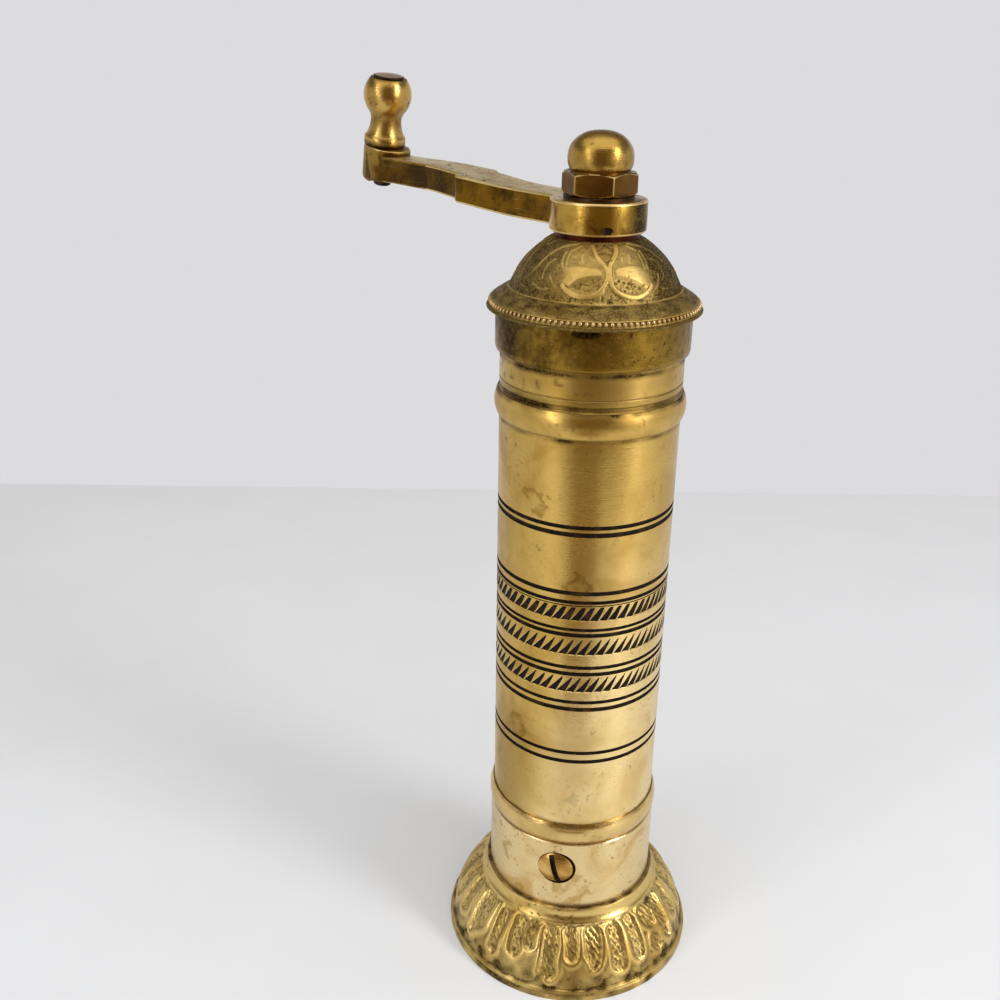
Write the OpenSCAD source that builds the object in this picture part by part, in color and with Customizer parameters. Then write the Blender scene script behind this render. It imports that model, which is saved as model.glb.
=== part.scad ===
// Hand-cranked brass mill for Turkish coffee.
// The foot stands on the floor at z = 0, the shaft runs up the Z axis and the crank points along -X.

/* [Foot] */
// Diameter of the foot at its rim
foot_rim_d = 59.7; // [56:0.1:68]
// Height of the foot, from the floor to the top of its lip
foot_h = 18.8; // [17:0.1:24]
// Height of the plain band round the rim
foot_rim_h = 1.6; // [1:0.1:2.4]
// How far the bell-shaped flank steps in from the rim
foot_rim_step = 0.35; // [0.2:0.05:0.8]
// Radius of the flank's curve, seen from the side
foot_flank_r = 27.5; // [22:0.5:40]
// Thickness of the foot's wall
foot_wall = 1.8; // [1.4:0.1:2.4]
// Height of the cove and lip above the flank
foot_cove_h = 3; // [2.6:0.1:4]
// How far the top of the flank lies outside the lip
foot_cove_out = 0.95; // [0.6:0.05:1.6]
// Wall of the lip that holds the sleeve
foot_lip_wall = 0.95; // [0.7:0.05:1.6]
// How deep the sleeve sits in the foot
foot_socket = 1.5; // [1:0.1:2]

/* [Foot relief] */
// Number of leaf loops round the flank
loop_n = 15; // [12:1:18]
// Direction of the first loop, turned from +X
loop_turn = -41; // [-180:1:180]
// Width of the hollow inside a loop
loop_slot_w = 3; // [2.4:0.1:3.2]
// Width of the hollow between two loops
loop_gap_w = 3; // [2.4:0.1:3.2]
// Depth of these hollows
loop_depth = 0.5; // [0.3:0.05:0.7]
// From the flank's lower edge up to the hollow inside a loop
loop_slot_up = 6.2; // [5:0.1:8]
// From the flank's lower edge up to the hollow between two loops
loop_gap_up = 3.9; // [2:0.1:5]
// From the cove down to the upper ends of the hollows
loop_drop = 0.6; // [0.3:0.1:1.5]

/* [Sleeve] */
// Height of the sleeve between the foot and the tube
sleeve_h = 18.2; // [17:0.1:24]
// How far the sleeve stands out past the tube
sleeve_out = 0.65; // [0.4:0.05:1.2]

/* [Tube] */
// Outside diameter of the tube
tube_d = 38; // [36:0.1:42]
// Wall of the tube
tube_wall = 1.3; // [1:0.05:1.6]
// Length of the tube
tube_h = 120.6; // [112:0.1:150]
// Heights of the turned lines above the tube's lower end
groove_at = [22.8, 25.1, 36.5, 38.3, 45.4, 47, 54.9, 56.2, 62.7, 64.8, 78.1, 79.7];
// Width of a turned line
groove_w = 0.8; // [0.4:0.1:1.2]

/* [Bead rings] */
// Height of a bead ring
bead_h = 5.4; // [4:0.1:7]
// How far a bead ring stands out past the tube
bead_out = 1; // [0.7:0.05:1.6]
// Thickness of a bead ring at its edges
bead_edge = 0.4; // [0.25:0.05:0.6]
// From the tube's upper end down to the top of the upper bead ring
upper_bead_drop = 16.8; // [12:0.1:22]

/* [Lid] */
// Height of the lid's collar over the tube
collar_h = 8.5; // [6:0.1:11]
// Wall of the lid's collar
collar_wall = 0.92; // [0.7:0.02:1.4]
// How far the brim stands out past the collar
brim_out = 1.85; // [1.2:0.05:3]
// Height of the brim's edge
brim_h = 2; // [1.4:0.1:3]
// Rise of the sloping top of the brim, up to the dome
brim_rise = 2.4; // [1.6:0.1:4]
// Diameter of the dome where it springs from the brim
dome_base_d = 34.6; // [33:0.1:36]
// Height of the dome, from its spring up to its seat
dome_h = 9.77; // [8:0.01:12]
// Wall of the dome
dome_wall = 1.5; // [1:0.1:2]
// Diameter of the flat seat on top of the dome
dome_seat_d = 17.4; // [15:0.1:19]
// How far the lid's floor reaches in past the tube's bore
lid_ledge = 0.84; // [0.4:0.02:1.6]
// Thickness of the dome under its seat
dome_seat_t = 2; // [1.4:0.1:3]

/* [Washers] */
// Diameter of the washer under the crank's hub
hub_washer_d = 16.8; // [14:0.1:19]
// Thickness of the washer under the crank's hub
hub_washer_t = 0.9; // [0.6:0.1:1.6]
// Diameter of the washer under the cap nut
nut_washer_d = 14; // [12:0.1:17]
// Thickness of the washer under the cap nut
nut_washer_t = 0.6; // [0.4:0.1:1.2]

/* [Crank] */
// Diameter of the hub
hub_d = 19.2; // [17:0.1:24]
// Height of the hub
hub_h = 6.2; // [5:0.1:9]
// From the shaft's axis to the knob's boss
crank_reach = 74.1; // [66:0.1:90]
// Thickness of the arm beside the hub
arm_hub_t = 5.9; // [4.6:0.1:6]
// Thickness of the arm beside the boss
arm_boss_t = 5.6; // [4.6:0.1:6.4]
// How far the arm climbs from the hub to the boss
arm_rise = 2.2; // [1:0.1:4]
// From the shaft's axis to where the arm starts to climb
arm_rise_at = 18; // [12:0.5:24]
// Length over which the arm climbs
arm_rise_l = 36; // [28:0.5:40]
// Width of the arm beside the hub
arm_hub_w = 9.6; // [8:0.1:12]
// Width of the arm beside the boss
arm_boss_w = 8.8; // [7:0.1:9.6]
// From the shaft's axis to the middle between the two leaf tips
leaf_at = 38; // [34:0.5:42]
// How far each leaf reaches past that middle
leaf_past = 0.5; // [0.2:0.1:2]
// From the arm's centre line out to a leaf's tip
leaf_out = 6.5; // [6:0.1:8]
// Rounding of a leaf's tip
leaf_round = 1.6; // [0.8:0.1:2]
// Radius of the hollow curve along a leaf's edge
leaf_curve_r = 120; // [90:5:300]
// Diameter of the knob's boss
boss_d = 9.8; // [9:0.1:12]
// How far the boss reaches from the knob's axis towards the hub, past its own radius
boss_long = 2.4; // [0.5:0.1:4]
// Height of the knob's boss
boss_h = 8.2; // [7:0.1:11]
// How far the boss's middle lies above the arm's middle
boss_lift = 1; // [0.4:0.1:1.6]
// Lean of the knob towards the hub, in degrees
knob_tilt = 9.4; // [0:0.1:12]

/* [Knob] */
// Diameter of the knob's foot flange
knob_flange_d = 9.8; // [8.4:0.1:11]
// Height of the knob's foot flange
knob_flange_h = 1.7; // [1.2:0.1:2.4]
// Diameter of the knob's neck
knob_neck_d = 7.2; // [6.5:0.1:8]
// Height of the neck's narrowest place
knob_neck_at = 5.4; // [5:0.1:5.8]
// Diameter of the knob's ball
knob_ball_d = 11.5; // [11:0.1:13]
// Height of the ball's middle
knob_ball_at = 11.6; // [11.4:0.1:13]
// Height of the knob
knob_h = 15.2; // [14.8:0.1:16.4]
// Radius of the hollow flare from the flange up to the neck
knob_flare_r = 8; // [6:0.1:14]
// Radius of the hollow between the neck and the ball
knob_hollow_r = 3.3; // [2.5:0.1:6]
// Diameter of the pin that the knob spins on
pin_d = 4.2; // [3:0.1:5]
// Diameter of the pin's head
pin_head_d = 7.2; // [6:0.1:8.4]
// Thickness of the pin's head
pin_head_t = 0.9; // [0.6:0.1:1.6]
// How far the pin's riveted tail stands out under the boss
pin_tail = 1.3; // [0.5:0.1:2]

/* [Cap nut] */
// Width of the hexagon across its flats
nut_af = 13.1; // [12:0.1:15]
// Height of the hexagon
nut_hex_h = 4.4; // [3.6:0.1:6]
// Diameter of the cap's waist where it leaves the hexagon
cap_waist_d = 11.8; // [10:0.1:12]
// Diameter of the domed cap
cap_d = 12.6; // [12.2:0.1:13]
// Height of the domed cap above the hexagon
cap_h = 7.3; // [6.6:0.1:9]
// Height of the cap's rounded crown
cap_crown_h = 5.2; // [4.6:0.1:6]
// How far the hexagon's bevels cut in from its flats
nut_bevel = 0.2; // [0.1:0.05:0.4]
// Depth of the nut's threaded hole
nut_hole_h = 8; // [7:0.1:9]
// Turn of the hexagon, in degrees
nut_turn = -24.5; // [-30:0.5:30]

/* [Shaft] */
// Diameter of the shaft
shaft_d = 9; // [8:0.1:10]
// Width of the square that drives the crank
square_af = 6.3; // [6.2:0.1:7]
// How far the square stays below the top of the hub
square_drop = 0.4; // [0.2:0.1:0.8]
// Diameter of the threaded stud for the cap nut
stud_d = 6; // [4:0.1:6.1]
// Space left over the stud in the cap nut
stud_drop = 0.8; // [0.4:0.1:1.5]
// Diameter of the spigot that carries the rotor
spigot_d = 7; // [6:0.1:7.6]
// Diameter of the flat on the shaft's point
point_d = 2; // [1:0.1:3]

/* [Burrs] */
// Height of the stator
stator_h = 18; // [16:0.1:19]
// From the top of the foot up to the stator
stator_lift = 6.2; // [6:0.1:7]
// Height of the stator's fine teeth
throat_h = 9; // [7:0.1:10]
// Diameter of the funnel at the top of the stator
funnel_d = 32.8; // [29:0.1:33]
// Diameter of the rotor at its lower end
rotor_base_d = 22; // [20:0.1:23]
// Diameter of the rotor at its upper end
rotor_top_d = 13; // [12.6:0.1:14]
// Height of the rotor
rotor_h = 16; // [14:0.1:16.5]
// From the stator's lower end up to the rotor
rotor_lift = 1.4; // [1.2:0.1:2]
// Gap between rotor and stator teeth with the mill set coarse
burr_gap = 0.5; // [0.4:0.05:0.8]
// Depth of a fine tooth
fine_depth = 0.7; // [0.4:0.05:1]
// Depth of a breaking tooth
coarse_depth = 1.6; // [1:0.1:1.7]
// Fine teeth on the rotor
rotor_fine_teeth = 20; // [12:1:24]
// Breaking teeth on the rotor
rotor_coarse_teeth = 6; // [4:1:8]
// Fine teeth in the stator
stator_fine_teeth = 24; // [16:1:28]
// Breaking ribs in the stator's funnel
stator_coarse_teeth = 9; // [6:1:12]
// Twist of the fine teeth, in degrees
fine_twist = 14; // [0:1:25]
// Twist of the breaking teeth, in degrees
coarse_twist = 48; // [20:1:60]
// Diameter of the pin that locks the rotor
rotor_pin_d = 2.5; // [2:0.1:3]
// From the rotor's upper end down to its pin
rotor_pin_drop = 3.4; // [3:0.1:5]

/* [Lower bridge and adjuster] */
// Width of the bridge
bridge_w = 8; // [7.5:0.1:10]
// Thickness of the bridge
bridge_t = 4; // [3:0.1:4.2]
// Diameter of the bridge's middle boss
bridge_boss_d = 13; // [11:0.1:16]
// Diameter of the bridge's two screws
bridge_screw_d = 3.2; // [2.6:0.1:3.6]
// Length of a bridge screw in the stator
bridge_screw_l = 7; // [5:0.1:9]
// Diameter of a bridge screw's head
bridge_screw_head_d = 5.2; // [4.6:0.1:5.4]
// Height of a bridge screw's head
bridge_screw_head_h = 1.7; // [1.2:0.1:1.9]
// Diameter of the adjusting screw
adjuster_d = 6; // [5:0.1:7]
// How far the adjusting screw stands up past the bridge
adjuster_up = 0.5; // [0.3:0.1:0.7]
// Diameter of the adjusting screw's star head
star_d = 15; // [12:0.1:18]
// Height of the star head
star_h = 4.5; // [3:0.1:6]
// From the bridge down to the star head
star_drop = 3.5; // [2.6:0.1:4]
// Lobes of the star head
star_lobes = 6; // [5:1:8]
// Diameter of a hollow between two lobes
star_hollow_d = 6; // [4:0.1:7]

/* [Upper guide] */
// Height of the guide
guide_h = 6; // [5:0.1:8]
// From the tube's upper end down to the guide
guide_drop = 5; // [3:0.1:8]
// Wall of the guide's rim
guide_rim = 1.8; // [1.2:0.1:2.4]
// Diameter of the guide's middle
guide_hub_d = 14; // [13.6:0.1:16]
// Width of a guide arm
guide_arm_w = 4; // [3:0.1:5]
// Height of a guide arm
guide_arm_h = 3.5; // [2.5:0.1:5]
// Arms of the guide
guide_arms = 3; // [3:1:4]

/* [Spring] */
// Length of the spring
spring_h = 22; // [16:0.5:28]
// Diameter of the spring's wire
wire_d = 1.2; // [0.8:0.1:1.4]
// Diameter of the spring between the middles of its wire
coil_d = 11.4; // [11:0.1:12]
// Turns of the spring
coil_turns = 7; // [5:1:8]
// Diameter of the washer under the spring
spring_washer_d = 14; // [13.4:0.1:15]
// Thickness of the washer under the spring
spring_washer_t = 1; // [0.6:0.1:1.6]
// Diameter of the collar that carries the spring
spring_collar_d = 14; // [13:0.1:15]
// Height of the collar that carries the spring
spring_collar_h = 5; // [4:0.1:7]
// Diameter of the collar's pin
collar_pin_d = 2.5; // [2:0.1:3]

/* [Base screws] */
// Screws that hold the base to the stator
base_screws_n = 3; // [2:1:3]
// Direction of the first screw, in degrees
base_screw_turn = -53; // [-90:1:90]
// From the top of the foot up to the screws
base_screw_lift = 11.2; // [10:0.1:12]
// Diameter of a base screw
base_screw_d = 4; // [3:0.1:4.4]
// How far a base screw reaches into the stator
base_screw_in = 3.2; // [2:0.1:3.6]
// Diameter of a base screw's head
base_screw_head_d = 8.5; // [7:0.1:9]
// Thickness of the head's edge
base_screw_edge = 0.5; // [0.3:0.1:0.8]
// Rise of the head's rounded top
base_screw_crown = 1.3; // [0.8:0.1:1.8]
// Width of the head's slot
base_slot_w = 1.1; // [0.8:0.1:1.4]
// Depth of the head's slot
base_slot_h = 1.1; // [0.6:0.1:1.4]
// How far the head's seat is sunk into the sleeve
base_sink = 0.25; // [0.15:0.05:0.4]
// Tilt of a head's slot from upright, in degrees
base_slot_tilt = 15; // [0:1:45]

/* [Fits] */
// Radial gap where a piece turns or slides on another
running_gap = 0.07; // [0.03:0.01:0.1]
// Gap where a piece is pressed, riveted or screwed home
seat_gap = 0.03; // [0.01:0.01:0.05]
// Gap between two faces that rub
rub_gap = 0.1; // [0.05:0.01:0.2]
// Radial gap round a bolt or a washer's hole
bolt_gap = 0.2; // [0.1:0.05:0.3]

/* [Hidden] */
$fn = 96;
BRASS = "goldenrod";
AGED_BRASS = "darkgoldenrod";
STEEL = "gray";
IRON = "dimgray";
EPS = 0.5;

tube_r = tube_d / 2;
bore_r = tube_r - tube_wall;
shaft_r = shaft_d / 2;

// Heights of the pieces, stacked from the floor up
sleeve_z = foot_h - foot_socket;
tube_z = foot_h + sleeve_h;
tube_top = tube_z + tube_h;
dome_z = tube_top + brim_h + brim_rise;
dome_mid_z = dome_z - (pow(dome_base_d / 2, 2) - pow(dome_seat_d / 2, 2) - dome_h * dome_h) / (2 * dome_h);
dome_r = norm([dome_base_d / 2, dome_z - dome_mid_z]);
seat_z = dome_z + dome_h;
hub_z = seat_z + hub_washer_t + rub_gap;
hub_top = hub_z + hub_h;
nut_z = hub_top + nut_washer_t;
cap_z = nut_z + nut_hex_h;

sleeve_r = tube_r + sleeve_out;
lip_r = sleeve_r + seat_gap + foot_lip_wall;
collar_r = tube_r + running_gap;
brim_r = collar_r + collar_wall + brim_out;
shaft_hole_r = shaft_r + running_gap;

// Burrs, bridge and adjuster
stator_z = foot_h + stator_lift;
stator_top = stator_z + stator_h;
stator_r = bore_r - running_gap;
throat_z = stator_z + throat_h;
rotor_z = stator_z + rotor_lift;
rotor_top = rotor_z + rotor_h;
bridge_z = stator_z - bridge_t;
bridge_screw_r = (stator_r + burr_r(stator_z)) / 2;
bridge_turn = base_screw_turn + 90;
adjuster_top = stator_z + adjuster_up;
star_z = bridge_z - star_drop - star_h;
point_z = adjuster_top + rub_gap / 2;

// Guide and spring, stacked from the guide down
guide_z = tube_top - guide_drop - guide_h;
spring_z = guide_z - spring_h;
spring_washer_z = spring_z - spring_washer_t;
spring_collar_z = spring_washer_z - rub_gap / 2 - spring_collar_h;

base_screw_z = foot_h + base_screw_lift;
base_face_r = base_screw_head_d / 2 + bolt_gap;
base_seat = sqrt(sleeve_r * sleeve_r - base_face_r * base_face_r) - base_sink;

// Points on an arc from p to q. A positive radius puts the centre on the left of the way from p to q.
function arc_between(p, q, radius, steps = 12) =
    let (
        way = q - p,
        lift = sign(radius) * sqrt(max(radius * radius - way * way / 4, 0)),
        centre = (p + q) / 2 + lift * [-way.y, way.x] / norm(way),
        start = atan2(p.y - centre.y, p.x - centre.x),
        turn = 2 * sign(radius) * asin(min(norm(way) / (2 * abs(radius)), 1))
    )
    [for (i = [0 : steps]) let (a = start + turn * i / steps) centre + abs(radius) * [cos(a), sin(a)]];

// The radius of an arc over a chord, from its height at the middle
function radius_of(chord, height) = (chord * chord / 4 + height * height) / (2 * height);

function ease(t) = let (u = min(max(t, 0), 1)) u * u * (3 - 2 * u);

function mix(a, b, t) = a + (b - a) * t;

module turned(points) {
    rotate_extrude() polygon([for (p = points) [max(p.x, 0), p.y]]);
}

module ring(z, h, r_out, r_in) {
    translate([0, 0, z]) difference() {
        cylinder(r = r_out, h = h);
        translate([0, 0, -EPS]) cylinder(r = r_in, h = h + 2 * EPS);
    }
}

module rod(z, h, d) {
    translate([0, 0, z]) cylinder(d = d, h = h);
}

// A rod that lies across the shaft
module cross_rod(z, length, d) {
    translate([0, 0, z]) rotate([90, 0, 0]) cylinder(d = d, h = length, center = true);
}

// A slot with round ends that starts up the flank from its lower edge and stops short of the cove.
// Its X axis runs up the flank, whose edges are low and high.
module flank_slot(low, high, up, w) {
    way = high - low;
    length = norm(way) - loop_drop - up - w;
    translate([low.x, 0, low.y]) rotate([0, -atan2(way.y, way.x), 0]) translate([up + w / 2, 0, 0])
        linear_extrude(4 * foot_wall, center = true) {
            for (x = [0, length]) translate([x, 0]) circle(d = w, $fn = 24);
            translate([0, -w / 2]) square([length, w]);
        }
}

// The hollows of the cast relief, one inside each leaf loop and one between each two loops
module flank_hollows(low, high) {
    way = high - low;
    out = [way.y, -way.x] / norm(way);
    intersection() {
        turned(concat(
            arc_between(low - loop_depth * out, high - loop_depth * out, foot_flank_r, 8),
            [high + 2 * foot_wall * out, low + 2 * foot_wall * out]
        ));
        for (i = [0 : loop_n - 1]) rotate([0, 0, loop_turn + i * 360 / loop_n]) {
            flank_slot(low, high, loop_slot_up, loop_slot_w);
            rotate([0, 0, 180 / loop_n]) flank_slot(low, high, loop_gap_up, loop_gap_w);
        }
    }
}

module flared_foot() {
    rim_r = foot_rim_d / 2;
    ledge_z = foot_h - foot_socket;
    flank_low = [rim_r - foot_rim_step, foot_rim_h];
    flank_high = [lip_r + foot_cove_out, foot_h - foot_cove_h];
    inner_low = [flank_low.x - foot_wall, 0];
    inner_high = [flank_high.x - foot_wall, flank_high.y - foot_wall];
    lip_low = [lip_r, foot_h - foot_socket];
    cove_r = radius_of(norm(flank_high - lip_low), foot_cove_out / 4);
    color(BRASS) difference() {
        turned(concat(
            [[rim_r, 0], [rim_r, foot_rim_h]],
            arc_between(flank_low, flank_high, foot_flank_r),
            arc_between(flank_high, lip_low, -cove_r, 6),
            [[lip_r, foot_h], [sleeve_r + seat_gap, foot_h], [sleeve_r + seat_gap, ledge_z]],
            [[bore_r, ledge_z], [bore_r, inner_high.y]],
            arc_between(inner_high, inner_low, -foot_flank_r)
        ));
        flank_hollows(flank_low, flank_high);
    }
}

module around_base() {
    for (i = [0 : base_screws_n - 1])
        rotate([0, 0, base_screw_turn + i * 360 / base_screws_n])
            translate([0, 0, base_screw_z])
                rotate([0, 90, 0]) children();
}

module base_sleeve() {
    color(BRASS) difference() {
        ring(sleeve_z, sleeve_h + foot_socket, sleeve_r, bore_r);
        around_base() {
            cylinder(d = base_screw_d + 2 * bolt_gap, h = sleeve_r + EPS);
            translate([0, 0, base_seat]) cylinder(r = base_face_r, h = sleeve_r);
        }
    }
}

module base_screws() {
    head_r = base_screw_head_d / 2;
    crown = radius_of(base_screw_head_d, base_screw_crown);
    shank_end = stator_r - base_screw_in;
    seat = base_seat + seat_gap;
    head_top = seat + base_screw_edge + base_screw_crown;
    color(BRASS) around_base() difference() {
        union() {
            translate([0, 0, shank_end])
                cylinder(d = base_screw_d - 2 * seat_gap, h = seat - shank_end + EPS);
            intersection() {
                translate([0, 0, seat]) cylinder(r = head_r, h = base_screw_edge + base_screw_crown);
                translate([0, 0, head_top - crown]) sphere(r = crown);
            }
        }
        rotate([0, 0, base_slot_tilt]) translate([-head_r - EPS, -base_slot_w / 2, head_top - base_slot_h])
            cube([base_screw_head_d + 2 * EPS, base_slot_w, base_slot_h + EPS]);
    }
}

module bead_ring(z) {
    r_in = tube_r + seat_gap;
    r_edge = tube_r + bead_edge;
    color(BRASS) turned(concat(
        [[r_in, z]],
        arc_between([r_edge, z], [r_edge, z + bead_h], radius_of(bead_h, bead_out - bead_edge)),
        [[r_in, z + bead_h]]
    ));
}

module lower_bead_ring() {
    bead_ring(tube_z);
}

module upper_bead_ring() {
    bead_ring(tube_top - upper_bead_drop - bead_h);
}

module body_tube() {
    color(BRASS) rotate_extrude() difference() {
        translate([bore_r, tube_z]) square([tube_wall, tube_h]);
        for (at = groove_at) translate([tube_r, tube_z + at]) circle(d = groove_w, $fn = 24);
    }
}

module lid_collar() {
    bevel = collar_wall / 2;
    low_z = tube_top - collar_h;
    r_out = collar_r + collar_wall;
    color(AGED_BRASS) turned([
        [collar_r, low_z], [r_out - bevel, low_z], [r_out, low_z + bevel],
        [r_out, tube_top], [collar_r, tube_top]
    ]);
}

module dome_lid() {
    edge_r = brim_h / 2;
    base_r = dome_base_d / 2;
    seat_r = dome_seat_d / 2;
    inner_r = dome_r - dome_wall;
    mouth_r = min(bore_r - lid_ledge, sqrt(pow(inner_r, 2) - pow(tube_top - dome_mid_z, 2)));
    ceiling_z = seat_z - dome_seat_t;
    ceiling_r = sqrt(pow(inner_r, 2) - pow(ceiling_z - dome_mid_z, 2));
    color(AGED_BRASS) turned(concat(
        [[shaft_hole_r, ceiling_z]],
        arc_between([ceiling_r, ceiling_z], [mouth_r, tube_top], -inner_r, 16),
        arc_between([brim_r - edge_r, tube_top], [brim_r - edge_r, tube_top + brim_h], edge_r, 10),
        arc_between([base_r, dome_z], [seat_r, seat_z], dome_r, 20),
        [[shaft_hole_r, seat_z]]
    ));
}

module hub_washer() {
    color("sienna") ring(seat_z, hub_washer_t, hub_washer_d / 2, shaft_r + bolt_gap);
}

// Everything on the crank is drawn with the arm along +X and turned to face -X
module on_crank() {
    rotate([0, 0, 180]) children();
}

// The knob's axis, with its zero in the middle of the boss
module on_boss() {
    on_crank() translate([crank_reach, 0, hub_z + hub_h / 2 + arm_rise + boss_lift])
        rotate([0, -knob_tilt, 0]) children();
}

// One edge of a leaf, from its root to its rounded tip
function leaf_edge(root_at, root_w, tip_at) =
    let (way = sign(tip_at - root_at))
    concat(
        arc_between([root_at, root_w / 2], [tip_at - way * leaf_round, leaf_out], leaf_curve_r * way, 14),
        arc_between(
            [tip_at - way * leaf_round, leaf_out], [tip_at, leaf_out - leaf_round], -leaf_round * way, 5)
    );

function arm_mid(s) = hub_z + hub_h / 2 + arm_rise * ease((s - arm_rise_at) / arm_rise_l);

function arm_half_t(s) = mix(arm_hub_t, arm_boss_t, ease((s - arm_rise_at) / arm_rise_l)) / 2;

// The arm seen from above: two leaves that bulge to opposite sides and pass each other in the middle
module arm_plan() {
    polygon(concat(
        leaf_edge(0, arm_hub_w, leaf_at + leaf_past),
        [[leaf_at + leaf_past, arm_boss_w / 2], [crank_reach, arm_boss_w / 2]],
        [for (p = leaf_edge(crank_reach, arm_boss_w, leaf_at - leaf_past)) [p.x, -p.y]],
        [[leaf_at - leaf_past, -arm_hub_w / 2], [0, -arm_hub_w / 2]]
    ));
}

// The arm seen from the side
module arm_side() {
    places = [0, for (i = [0 : 12]) arm_rise_at + arm_rise_l * i / 12, crank_reach];
    last = len(places) - 1;
    polygon(concat(
        [for (s = places) [s, arm_mid(s) + arm_half_t(s)]],
        [for (i = [0 : last]) let (s = places[last - i]) [s, arm_mid(s) - arm_half_t(s)]]
    ));
}

// The boss seen along the knob's axis, round at both ends and drawn out towards the hub
module boss_plan() {
    for (x = [0, -boss_long]) translate([x, 0]) circle(d = boss_d);
    translate([-boss_long, -boss_d / 2]) square([boss_long, boss_d]);
}

module crank_arm() {
    hole_af = square_af + 2 * running_gap;
    tall = 4 * hub_h;
    wide = 4 * leaf_out;
    color(AGED_BRASS) difference() {
        union() {
            rod(hub_z, hub_h, hub_d);
            on_crank() intersection() {
                translate([0, 0, hub_z - hub_h]) linear_extrude(tall) arm_plan();
                rotate([90, 0, 0]) linear_extrude(wide, center = true) arm_side();
            }
            on_boss() linear_extrude(boss_h, center = true) boss_plan();
        }
        translate([-hole_af / 2, -hole_af / 2, hub_z - EPS]) cube([hole_af, hole_af, hub_h + 2 * EPS]);
        on_boss() cylinder(d = pin_d + 2 * seat_gap, h = boss_h + 2 * EPS, center = true);
    }
}

module knob() {
    flange_r = knob_flange_d / 2;
    flange_round = knob_flange_h / 4;
    neck_r = knob_neck_d / 2;
    ball_r = knob_ball_d / 2;
    hole_r = pin_d / 2 + running_gap;
    z = boss_h / 2 + rub_gap;
    shoulder_z = z + knob_flange_h;
    neck = [neck_r, z + knob_neck_at];
    join_a = -40;
    join = [ball_r * cos(join_a), z + knob_ball_at + ball_r * sin(join_a)];
    top = [sqrt(pow(ball_r, 2) - pow(knob_h - knob_ball_at, 2)), z + knob_h];
    color(AGED_BRASS) on_boss() turned(concat(
        [[hole_r, z], [flange_r - flange_round, z], [flange_r, z + flange_round]],
        [[flange_r, shoulder_z - flange_round]],
        arc_between([flange_r - flange_round, shoulder_z], neck, -knob_flare_r, 8),
        arc_between(neck, join, -knob_hollow_r, 8),
        arc_between(join, top, ball_r, 20),
        [[hole_r, z + knob_h]]
    ));
}

module knob_pin() {
    head_z = boss_h / 2 + knob_h + 2 * rub_gap;
    tail_z = -boss_h / 2 - pin_tail;
    edge = pin_head_t / 3;
    crown = pin_head_t - edge;
    head_r = pin_head_d / 2;
    color("saddlebrown") on_boss() turned(concat(
        [[0, tail_z], [pin_d / 2, tail_z], [pin_d / 2, head_z], [head_r, head_z]],
        arc_between([head_r, head_z + edge], [0, head_z + edge + crown], radius_of(pin_head_d, crown), 10)
    ));
}

module nut_washer() {
    color(IRON) ring(hub_top, nut_washer_t, nut_washer_d / 2, stud_d / 2 + bolt_gap);
}

module cap_nut() {
    corner_d = nut_af / cos(30);
    past_r = corner_d / 2 + EPS;
    face_r = nut_af / 2 - nut_bevel;
    bevel_h = (past_r - face_r) * tan(30);
    waist_r = cap_waist_d / 2;
    top_z = cap_z + cap_h;
    bulge = [cap_d / 2, top_z - cap_crown_h];
    color(AGED_BRASS) difference() {
        union() {
            intersection() {
                rotate([0, 0, nut_turn]) translate([0, 0, nut_z])
                    cylinder(d = corner_d, h = nut_hex_h, $fn = 6);
                turned([
                    [0, nut_z], [face_r, nut_z], [past_r, nut_z + bevel_h],
                    [past_r, cap_z - bevel_h], [face_r, cap_z], [0, cap_z]
                ]);
            }
            turned(concat(
                [[0, cap_z - EPS], [waist_r, cap_z - EPS]],
                arc_between([waist_r, cap_z], bulge, cap_d, 6),
                arc_between(bulge, [0, top_z], radius_of(cap_d, cap_crown_h), 20)
            ));
        }
        rod(nut_z - EPS, nut_hole_h + EPS, stud_d + 2 * running_gap);
    }
}

module drive_shaft() {
    stud_top = nut_z + nut_hole_h - stud_drop;
    point_h = (spigot_d - point_d) / 2;
    square_h = hub_h - square_drop;
    color(STEEL) difference() {
        union() {
            translate([0, 0, point_z]) cylinder(d1 = point_d, d2 = spigot_d, h = point_h);
            rod(point_z + point_h, rotor_top - point_z - point_h, spigot_d);
            rod(rotor_top, hub_z - rotor_top, shaft_d);
            intersection() {
                rod(hub_z - EPS, square_h + EPS, shaft_d);
                translate([-square_af / 2, -square_af / 2, hub_z - EPS])
                    cube([square_af, square_af, square_h + EPS]);
            }
            rod(hub_z, stud_top - hub_z, stud_d);
        }
        cross_rod(rotor_top - rotor_pin_drop, shaft_d, rotor_pin_d + 2 * seat_gap);
        cross_rod(spring_collar_z + spring_collar_h / 2, shaft_d + 2 * EPS, collar_pin_d + 2 * seat_gap);
    }
}

// A solid skin over a stack of rings, each a list of as many points, from the lowest up
module skin(rings) {
    n = len(rings[0]);
    last = len(rings) - 1;
    low = (last + 1) * n;
    polyhedron(
        points = concat(
            [for (r = rings) each r],
            [[0, 0, rings[0][0].z], [0, 0, rings[last][0].z]]
        ),
        faces = concat(
            [for (k = [0 : last - 1], i = [0 : n - 1]) let (j = (i + 1) % n)
                each [
                    [k * n + i, (k + 1) * n + i, (k + 1) * n + j],
                    [k * n + i, (k + 1) * n + j, k * n + j]
                ]],
            [for (i = [0 : n - 1]) [low, i, (i + 1) % n]],
            [for (i = [0 : n - 1]) [low + 1, last * n + (i + 1) % n, last * n + i]]
        )
    );
}

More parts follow.
